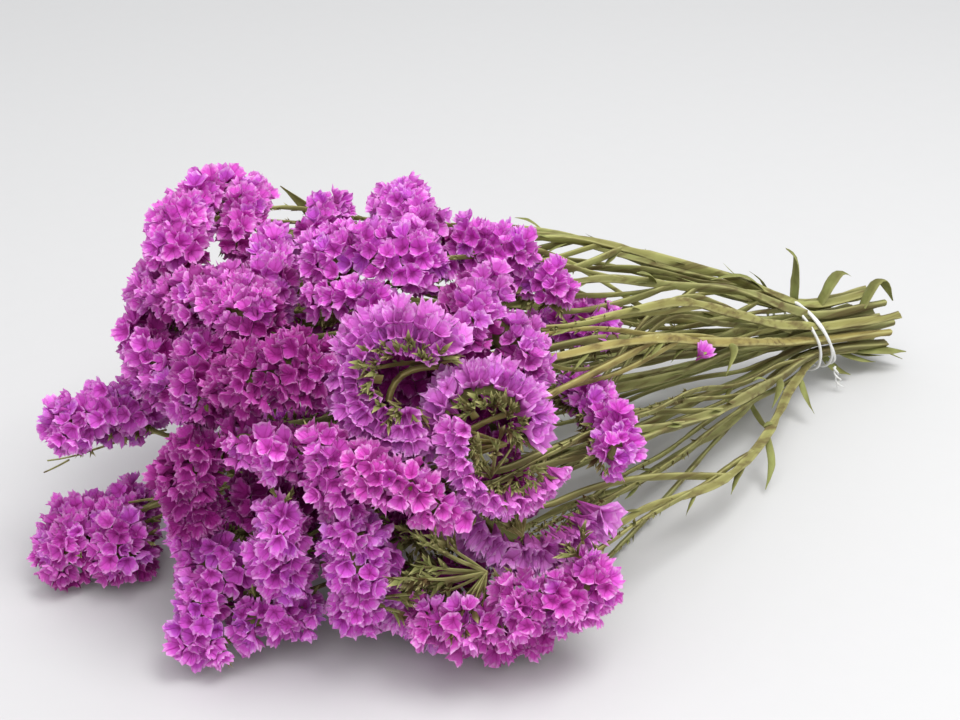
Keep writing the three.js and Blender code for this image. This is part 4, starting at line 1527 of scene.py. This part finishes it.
def sweep_grower():
    """Sweeps a section along lines, with wavy wings."""
    grower = Grower(
        "Statice sweep", Section="Object", Wave="Float", Wave_Size="Float", Seed="Int", Finish="Material"
    )
    t, given = grower.tree, grower.inputs
    rail = t.node("GeometryNodeMeshToCurve", None, {"Mesh": given["Geometry"]})
    rail = t.node("GeometryNodeSetCurveTilt", None, {"Curve": rail, "Tilt": t.attribute("tilt")})
    rail = t.store(rail, "middle", t.place(), "FLOAT_VECTOR")
    section = t.node("GeometryNodeObjectInfo", None, {"Object": given["Section"]}, "Geometry")
    section = t.store(section, "edge", t.place().vector("LENGTH", out="Value").ramp(*SECTION_EDGE))
    sockets = {"Curve": rail, "Profile Curve": section, "Scale": t.attribute("thick"), "Fill Caps": True}
    swept = t.node("GeometryNodeCurveToMesh", None, sockets)
    place, edge = t.place(), t.attribute("edge")
    inward = t.attribute("middle", "FLOAT_VECTOR").vector("SUBTRACT", place)
    pull = edge * (1 - t.attribute("wing"))
    swept = t.moved(swept, Position=place.vector("ADD", inward.vector("SCALE", pull * JOINT_PULL)))
    sockets = {"Vector": place, "Scale": given["Wave Size"], "Detail": 2.0, "W": given["Seed"] * WAVE_NEXT}
    wave = t.node("ShaderNodeTexNoise", {"noise_dimensions": "4D"}, sockets, 1)
    share = edge * EDGE_WAVE + (1 - EDGE_WAVE)
    wave = wave.vector("SUBTRACT", (0.5, 0.5, 0.5)).vector("SCALE", given["Wave"] * share)
    return grower.end(t.painted(t.moved(swept, Offset=wave), given["Finish"]))


# ---- Materials ----

# how dark the painted shade gets on calyxes that other sprays hide
PAINTED_SHADE_STRENGTH = 0.85
RIM_KEPT = 0.5  # share of a rim's paleness that stays under the painted shade deep in the bunch
ELASTIC_DUST = (0.55, 0.55, 0.5, 1)


def shaded(name, surface, *values):
    """A material with the surface that a function works out in its tree."""
    material = bpy.data.materials.new(name)
    material.use_nodes = True
    t = Tree(material.node_tree)
    t.node("ShaderNodeOutputMaterial", None, {"Surface": surface(t, *values)})
    return material


def marks_of(t, *names):
    """Attributes of the mesh, in a material."""
    return [t.node("ShaderNodeAttribute", {"attribute_name": name}, None, "Fac") for name in names]


def mixed(t, share, first, second):
    """Two colours mixed; each is a wire or red, green and blue."""
    first, second = [one if isinstance(one, Wire) else (*one[:3], 1) for one in (first, second)]
    settings = {"data_type": "RGBA", "clamp_factor": True}
    return t.node("ShaderNodeMix", settings, {"Factor": share, "A": first, "B": second}, "Result")


def place_noise(t, scale, detail=3.0, rough=0.5):
    return t.noise(t.node("ShaderNodeTexCoord", None, None, "Object"), scale, detail, rough)


def bumped(t, height, strength, distance):
    return t.node("ShaderNodeBump", None, {"Strength": strength, "Distance": distance, "Height": height})


def through_lit(t, colour, roughness, normal, share):
    """A thin dry surface that lets part of the light through."""
    sockets = {"Base Color": colour, "Roughness": roughness, "Normal": normal, "Specular IOR Level": 0.25}
    face = t.node("ShaderNodeBsdfPrincipled", None, sockets)
    back = t.node("ShaderNodeBsdfTranslucent", None, {"Color": colour})
    return t.node("ShaderNodeMixShader", None, {0: share, 1: face, 2: back})


def paper_surface(t, colours):
    """Papery calyx: painted shade in the throat, magenta on the walls, pale along the rim with a painted
    highlight, and painted shade deep in the bunch.
    """
    rim, outer, fold = marks_of(t, "rim", "outer", "fold")
    tint, shade, pale, painted_shade = marks_of(t, "tint", "shade", "pale", "painted_shade")
    fibre = place_noise(t, 520.0, 4.0, 0.65)
    cloud = place_noise(t, 45.0)
    wall = mixed(t, tint.ramp(0.55, 1.4), colours.magenta, colours.violet)
    wall = mixed(t, shade, wall, colours.pink)
    wall = mixed(t, pale, wall, colours.lilac)
    # outer walls paler lilac, partly a painted highlight
    wall = mixed(t, outer.ramp(0.5, 1.0) * 0.5, wall, colours.lilac)
    # painted shade: the walls darken towards the throat, while the outer walls stay lit
    lit = rim.ramp(0.1, 0.8).math("MAXIMUM", outer * (0.45 + rim * 0.55))
    wall = mixed(t, lit, colours.shade_and_dark_marks, wall)
    # pale papery rim, partly a painted highlight
    edge = rim.ramp(0.8, 1.0) * fibre.ramp(0.25, 0.75)
    wall = mixed(t, edge, wall, colours.rim)
    wall = mixed(t, cloud.ramp(0.4, 0.8) * 0.25, wall, colours.shade_and_dark_marks)
    wall = mixed(t, fibre.ramp(0.5, 0.8) * 0.25, wall, colours.lilac)
    wall = mixed(t, fold.ramp(0.55, 1.0) * (fibre + 0.1) * 0.6, wall, colours.shade_and_dark_marks)
    # painted shade on calyxes that other sprays hide, lighter along the rims
    deep = painted_shade.ramp(0.15, 0.75) * (1 - edge * RIM_KEPT) * PAINTED_SHADE_STRENGTH
    wall = mixed(t, deep, wall, colours.shade_and_dark_marks)
    normal = bumped(t, fibre - fold * 0.4, 0.6, 0.0008)
    return through_lit(t, wall, 0.7 + fibre * 0.2, normal, 0.35)


def green_surface(t, colours):
    """Dry green and brown spikelet scales with paler tips."""
    tip, tint = marks_of(t, "tip", "tint")
    cloud = place_noise(t, 120.0)
    fibre = place_noise(t, 1400.0)
    scale = mixed(t, tint, colours.green, colours.brown)
    scale = mixed(t, tip.ramp(0.5, 1.0) * (0.3 + cloud), scale, colours.straw)
    scale = mixed(t, cloud.ramp(0.45, 0.8) * 0.6, scale, colours.brown)
    return through_lit(t, scale, 0.65 + fibre * 0.25, bumped(t, fibre, 0.4, 0.0004), 0.15)


def stem_surface(t, colours, ochre, dark):
    """Dry winged stem: olive with yellow-green wings and brown streaks."""
    edge = marks_of(t, "edge")[0]
    place = t.node("ShaderNodeTexCoord", None, None, "Object")
    streaks = t.noise(place.vector("MULTIPLY", (12.0, 240.0, 240.0)), 1.0, 4.0)
    cloud = place_noise(t, 22.0)
    base = mixed(t, cloud.ramp(0.3, 0.7), colours.olive, colours.leaf_green)
    base = mixed(t, ochre, base, colours.ochre)
    base = mixed(t, dark, base, colours.brown)
    base = mixed(t, edge * 0.5, base, colours.straw)
    base = mixed(t, streaks.ramp(0.42, 0.72) * 0.75, base, colours.brown)
    return through_lit(t, base, 0.5 + streaks * 0.3, bumped(t, streaks, 0.5, 0.0006), 0.12)


def leaf_surface(t, colours):
    """Curled dry leaf, olive to brown."""
    edge = marks_of(t, "edge")[0]
    cloud = place_noise(t, 60.0)
    fibre = place_noise(t, 700.0)
    base = mixed(t, cloud.ramp(0.3, 0.7), colours.leaf_green, colours.olive)
    base = mixed(t, edge * 0.35, base, colours.straw)
    base = mixed(t, cloud.ramp(0.6, 0.9) * 0.5, base, colours.brown)
    return through_lit(t, base, 0.65 + fibre * 0.2, bumped(t, fibre + cloud, 0.5, 0.0006), 0.25)


def elastic_surface(t, colours):
    """White covered elastic with a fine twill."""
    place = t.node("ShaderNodeTexCoord", None, None, "Object")
    bands = {"bands_direction": "DIAGONAL"}
    twill = t.node("ShaderNodeTexWave", bands, {"Vector": place, "Scale": 700.0}, 1)
    dust = place_noise(t, 90.0)
    sockets = {
        "Base Color": mixed(t, dust.ramp(0.3, 0.8) * 0.5, colours.elastic, ELASTIC_DUST),
        "Roughness": 0.55 + dust * 0.2,
        "Normal": bumped(t, twill, 0.5, 0.0003),
    }
    return t.node("ShaderNodeBsdfPrincipled", None, sockets)


def floor_surface(t, colours):
    """Matt pale backdrop."""
    grain = place_noise(t, 60.0)
    base = mixed(t, grain, colours.floor, [shade * 0.985 for shade in colours.floor])
    return t.node("ShaderNodeBsdfPrincipled", None, {"Base Color": base, "Roughness": 0.85 + grain * 0.1})


# ---- What a user would change ----


def length(name, description, default):
    return bpy.props.FloatProperty(
        name=name, description=description, default=default, min=0.0001, unit="LENGTH", precision=4
    )


def colour(name, description, default):
    return bpy.props.FloatVectorProperty(
        name=name, description=description, default=default, size=3, min=0, max=1, subtype="COLOR"
    )


class StaticeSizes(bpy.types.PropertyGroup):
    """Sizes of the bunch's small parts"""

    mouth: length("Calyx mouth", "Breadth of a calyx across its lobes", 0.0116)
    depth: length("Calyx depth", "From the rim of a calyx to its foot", 0.0102)
    spacing: length("Calyx spacing", "Least distance from one calyx to the next", 0.006)
    spikelet: length("Spikelet length", "Length of the green scales behind the calyxes", 0.0074)
    spikelet_spacing: length("Spikelet spacing", "Least distance between green tufts", 0.005)


class StaticeColours(bpy.types.PropertyGroup):
    """Colours of the bunch"""

    magenta: colour("Magenta", "Walls of most calyxes", (0.88, 0.165, 0.82))
    violet: colour("Violet", "Walls of the bluest calyxes", (0.60, 0.14, 0.80))
    pink: colour("Pink", "Walls of the pinkest sprays", (0.90, 0.11, 0.56))
    lilac: colour("Lilac", "Walls of the palest sprays", (0.88, 0.32, 0.86))
    # pale papery rim, partly a painted highlight
    rim: colour("Rim", "Rims of the calyxes", (1.0, 0.78, 1.0))
    # painted shade in the calyx depths and among the sprays, and the darker veins and mottling
    shade_and_dark_marks: colour("Throat", "Depths of the calyxes", (0.42, 0.012, 0.27))
    green: colour("Green", "Green scales", (0.25, 0.27, 0.085))
    brown: colour("Brown", "Brown scales and streaks", (0.10, 0.055, 0.022))
    straw: colour("Straw", "Pale tips and wings", (0.58, 0.56, 0.24))
    olive: colour("Olive", "Darker stems", (0.20, 0.20, 0.06))
    leaf_green: colour("Leaf green", "Fresher stems", (0.34, 0.37, 0.12))
    ochre: colour("Ochre", "Sun-bleached stems", (0.47, 0.37, 0.11))
    elastic: colour("Elastic", "The band", (0.82, 0.82, 0.80))
    floor: colour("Floor", "The surface under the bunch", (0.585, 0.585, 0.585))


# ---- Looks of single sprays and stems ----

PINK_SPRAYS = {
    "front_pink": 0.3, "front_smile": 0.1, "front_low": 0.25, "front_right": 0.2, "small_cluster": 0.15,
    "front_curl": 0.15, "top_left": 0.15, "top_honeycomb": 0.15, "middle_honeycomb": 0.1, "far_low": 0.15,
}
# lilac share of a spray's walls; front_smile's is partly painted light, as that spray sits in shade
PALE_SPRAYS = {
    "middle_curl": 0.55, "middle_arch": 0.6, "front_curl": 0.35, "front_fan": 0.2, "front_smile": 0.85,
    "top_peak": 0.2, "upper_right": 0.3, "far_left": 0.1, "top_inner": 0.15,
}
SPRAY_PAINTED_SHADE = {  # painted shade added to the calyxes of a spray; below nought it is taken off, so they are brighter
    "top_honeycomb": 0.25, "left_upper": 0.35, "left_middle": 0.45, "middle_honeycomb": 0.6,
    "small_cluster": 0.2, "upper_right": 0.3, "middle_arch": 0.12, "front_right": 0.25,
    "front_corner": -0.25, "front_tall": -0.2, "front_left": -0.1, "front_smile": -0.5,
    "loose_right": -0.5, "top_right_low": -0.2, "left_core": 0.65, "low_core": 0.6,
    "under_left": 0.6, "under_middle": 0.6, "behind_curl": 0.6, "behind_arch": 0.6,
    "behind_smile": 0.6, "behind_fan": 0.6,
}
OCHRE_STEMS = {"c8": 0.7, "c7": 0.25, "c5": 0.15, "c10": 0.2}
DARKEST_STEM = 0.45
STEM_WAVES = (0.0008, 110.0)  # height of the waves in a swept skin, and how close they are
LEAF_WAVES = (0.0012, 160.0)
BAND_WAVES = (0.0003, 200.0)
STRAY_PLACE = Vector((-0.149, -0.062, 0.098))  # a loose calyx caught between the stems, in the plan
STRAY_AIM = (0.3, -0.4, 0.8)
STRAY_SIZE = 1.15

# ---- Making the pieces ----


class Florist:
    """The materials, shapes and growers that the flowering pieces are made with."""

    def __init__(self, sizes, colours):
        self.sizes = sizes
        self.paper = shaded("papery_calyx", paper_surface, colours)
        self.green = shaded("spikelet_green", green_surface, colours)
        self.calyxes = shape_collection("calyx", calyx_shape, sizes, 5)
        self.tufts = shape_collection("spikelet", spikelet_shape, sizes, 6)
        self.spray = spray_grower()
        self.ribbon = ribbon_grower()
        self.single = tuft_grower()

    def grow_spray(self, name, guide, seed):
        """The calyxes and scales of a spray. The calyxes of a curled one are a piece of their own."""
        points, faces, marks = guide
        curled = name in RIBBON_LOOKS
        piece = new_object(f"scales_{name}" if curled else f"flowers_{name}", points, [], faces, marks)
        looks = {"Seed": seed, "Shade": PINK_SPRAYS.get(name, 0.0), "Pale": PALE_SPRAYS.get(name, 0.0)}
        values = {
            "Calyxes": self.calyxes,
            "Calyx_Spacing": self.sizes.spacing,
            "Spikelets": self.tufts,
            "Spikelet_Spacing": self.sizes.spikelet_spacing * (CURL_SPACING if curled else 1),
            "Spikelet_Size": RIBBON_LOOKS[name][2] if curled else 1.0,
            "Core": CORE_SHARE * (CURL_CORE if curled else 1),
            "Flowering": 0.0 if curled else 1.0,
            "Paper": self.paper,
            "Green": self.green,
        }
        self.spray.grow(piece, **looks, **values)
        if curled:
            finish_piece(piece, "papery_calyx")
            piece = ribbon_mesh(name, all_sprays()[name])
            self.ribbon.grow(piece, Shapes=self.calyxes, Finish=self.paper, **looks)
        solids = [] if name in INNER_SPRAYS else [f"spray_{name}"]
        finish_piece(piece, "papery_calyx", *solids)

    def grow_single(self, piece, shapes, seed, finish):
        """One calyx or tuft on every point of a piece."""
        self.single.grow(piece, Shapes=shapes, Seed=seed, Finish=finish)
        finish_piece(piece, "papery_calyx")

    def clear(self):
        drop_collection(self.calyxes)
        drop_collection(self.tufts)


def marked_guides():
    """The guide of every spray, with how open each of its places is and how much painted shade its calyxes
    get there.
    """
    guides = {name: guide_of(name, spikes) for name, spikes in all_sprays().items()}
    surfaces = joined_surfaces(guides.values())
    for name, (points, _, marks) in guides.items():
        # painted shade: the less open a place, the darker its calyxes, plus each spray's own share
        dim = SPRAY_PAINTED_SHADE.get(name, 0)
        marks["open"] = open_shares(points, marks["aim"], surfaces)
        marks["painted_shade"] = [min(1, 1 - share + dim) for share in marks["open"]]
    return guides


def sweep_pieces(corners, waves, pieces):
    """Sweeps a section along the rails of each piece: name, rails, seed, material, slot and nodes."""
    grower = sweep_grower()
    section = section_curve("section", corners)
    values = {"Section": section, "Wave": waves[0], "Wave_Size": waves[1]}
    for name, rails, seed, finish, slot, nodes in pieces:
        piece = rails.made(name)
        grower.grow(piece, Seed=seed, Finish=finish, **values)
        finish_piece(piece, slot, *nodes)
    bpy.data.objects.remove(section)


class STATICE_OT_sprays(bpy.types.Operator):
    """Grow the calyxes and green scales of every spray"""

    bl_idname = "statice.sprays"
    bl_label = "Sprays"

    def execute(self, context):
        florist = Florist(context.scene.statice_sizes, context.scene.statice_colours)
        for place, (name, guide) in enumerate(marked_guides().items(), 1):
            florist.grow_spray(name, guide, 20 * place)
        for slot in SPRAYS:
            florist.grow_single(bud_mesh(slot), florist.tufts, 400 + stem_seed(slot), florist.green)
        marks = {"aim": [STRAY_AIM], "size": [STRAY_SIZE]}
        stray = new_object("stray_calyx", [STRAY_PLACE + PLAN_ORIGIN], [], [], marks)
        florist.grow_single(stray, florist.calyxes, 7, florist.paper)
        florist.clear()
        return {"FINISHED"}


class STATICE_OT_stems(bpy.types.Operator):
    """Sweep the winged stems and their branches"""

    bl_idname = "statice.stems"
    bl_label = "Stems"

    def execute(self, context):
        pieces = []
        for slot in SPRAYS:
            seed, ochre = stem_seed(slot), OCHRE_STEMS.get(slot, 0.0)
            dark = DARKEST_STEM * random.Random(3 * seed).random()
            finish = shaded(f"stem_skin_{slot}", stem_surface, context.scene.statice_colours, ochre, dark)
            pieces.append((f"stalks_{slot}", stem_rails(slot), seed, finish, "stem_green", [f"stem_{slot}"]))
        sweep_pieces(winged_section(), STEM_WAVES, pieces)
        return {"FINISHED"}


class STATICE_OT_leaves(bpy.types.Operator):
    """Add the dried leaves and bracts along the stems"""

    bl_idname = "statice.leaves"
    bl_label = "Leaves"

    def execute(self, context):
        finish = shaded("leaf_skin", leaf_surface, context.scene.statice_colours)
        pieces = []
        for slot in SPRAYS:
            pieces.append((f"leaves_{slot}", leaf_rails(slot), stem_seed(slot), finish, "stem_green", []))
        sweep_pieces(BLADE_CORNERS, LEAF_WAVES, pieces)
        return {"FINISHED"}


class STATICE_OT_band(bpy.types.Operator):
    """Wind the elastic band round the bundle"""

    bl_idname = "statice.band"
    bl_label = "Elastic band"

    def execute(self, context):
        finish = shaded("elastic_white", elastic_surface, context.scene.statice_colours)
        piece = ("elastic_strands", band_rails(), 3, finish, "white_elastic", ["elastic_band"])
        sweep_pieces(round_section(), BAND_WAVES, [piece])
        return {"FINISHED"}


# ---- The stage ----

CAMERA_PLACE = Vector((-0.7037, -0.6723, 0.56))  # in the plan
CAMERA_LOOK = Vector((0.4717, 0.7263, -0.5))
LENS = 60  # millimetres
SENSOR = 36
FLOOR_SIZE = 6.0
LIGHTS = {  # place, target, size in metres and power in watts
    "overhead": ((0.3, -0.6, 1.9), (0, 0.05, 0), 1, 25),
    "window": ((-0.7, -0.9, 1.7), (0, 0.05, 0.05), 1.4, 12),
}
SKY = {"Color": (0.98, 0.985, 1.0, 1), "Strength": 0.87}


def add_light(name, place, target, size, power):
    light = bpy.data.lights.new(name, "AREA")
    light.size = size
    light.energy = power
    obj = bpy.data.objects.new(name, light)
    obj.location = place
    obj.rotation_euler = (Vector(target) - Vector(place)).to_track_quat("-Z", "Y").to_euler()
    bpy.context.scene.collection.objects.link(obj)


def add_sky(scene):
    scene.world = bpy.data.worlds.new("studio")
    scene.world.use_nodes = True
    for name, value in SKY.items():
        scene.world.node_tree.nodes["Background"].inputs[name].default_value = value


def add_camera(scene):
    data = bpy.data.cameras.new("camera")
    data.lens, data.sensor_width = LENS, SENSOR
    camera = bpy.data.objects.new("camera", data)
    camera.location = CAMERA_PLACE + PLAN_ORIGIN
    camera.rotation_euler = CAMERA_LOOK.to_track_quat("-Z", "Y").to_euler()
    scene.collection.objects.link(camera)
    scene.camera = camera


class STATICE_OT_stage(bpy.types.Operator):
    """Set out the floor, the soft lights and the camera"""

    bl_idname = "statice.stage"
    bl_label = "Stage"

    def execute(self, context):
        half = FLOOR_SIZE / 2
        corners = [(-half, -half, 0), (half, -half, 0), (half, half, 0), (-half, half, 0)]
        floor = new_object("floor", corners, [], [(0, 1, 2, 3)])
        floor.data.materials.append(shaded("floor_paint", floor_surface, context.scene.statice_colours))
        for name, values in LIGHTS.items():
            add_light(name, *values)
        add_sky(context.scene)
        add_camera(context.scene)
        context.scene.view_settings.view_transform = "Standard"
        return {"FINISHED"}


# ---- The add-on ----


class STATICE_PT_panel(bpy.types.Panel):
    """Sizes, colours and pieces of the bunch"""

    bl_label = "Dried statice"
    bl_space_type = "VIEW_3D"
    bl_region_type = "UI"
    bl_category = "Statice"

    def draw(self, context):
        for operator in OPERATORS:
            self.layout.operator(operator.bl_idname)
        for group in (context.scene.statice_sizes, context.scene.statice_colours):
            for label in group.bl_rna.properties.keys():
                if label not in ("rna_type", "name"):
                    self.layout.prop(group, label)


OPERATORS = (STATICE_OT_sprays, STATICE_OT_stems, STATICE_OT_leaves, STATICE_OT_band, STATICE_OT_stage)
CLASSES = (StaticeSizes, StaticeColours, *OPERATORS, STATICE_PT_panel)


def register():
    for part in CLASSES:
        bpy.utils.register_class(part)
    bpy.types.Scene.statice_sizes = bpy.props.PointerProperty(type=StaticeSizes)
    bpy.types.Scene.statice_colours = bpy.props.PointerProperty(type=StaticeColours)


def unregister():
    del bpy.types.Scene.statice_colours
    del bpy.types.Scene.statice_sizes
    for part in reversed(CLASSES):
        bpy.utils.unregister_class(part)


def main():
    register()
    bpy.ops.statice.sprays()
    bpy.ops.statice.stems()
    bpy.ops.statice.leaves()
    bpy.ops.statice.band()
    bpy.ops.statice.stage()
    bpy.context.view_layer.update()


if __name__ == "__main__":
    main()
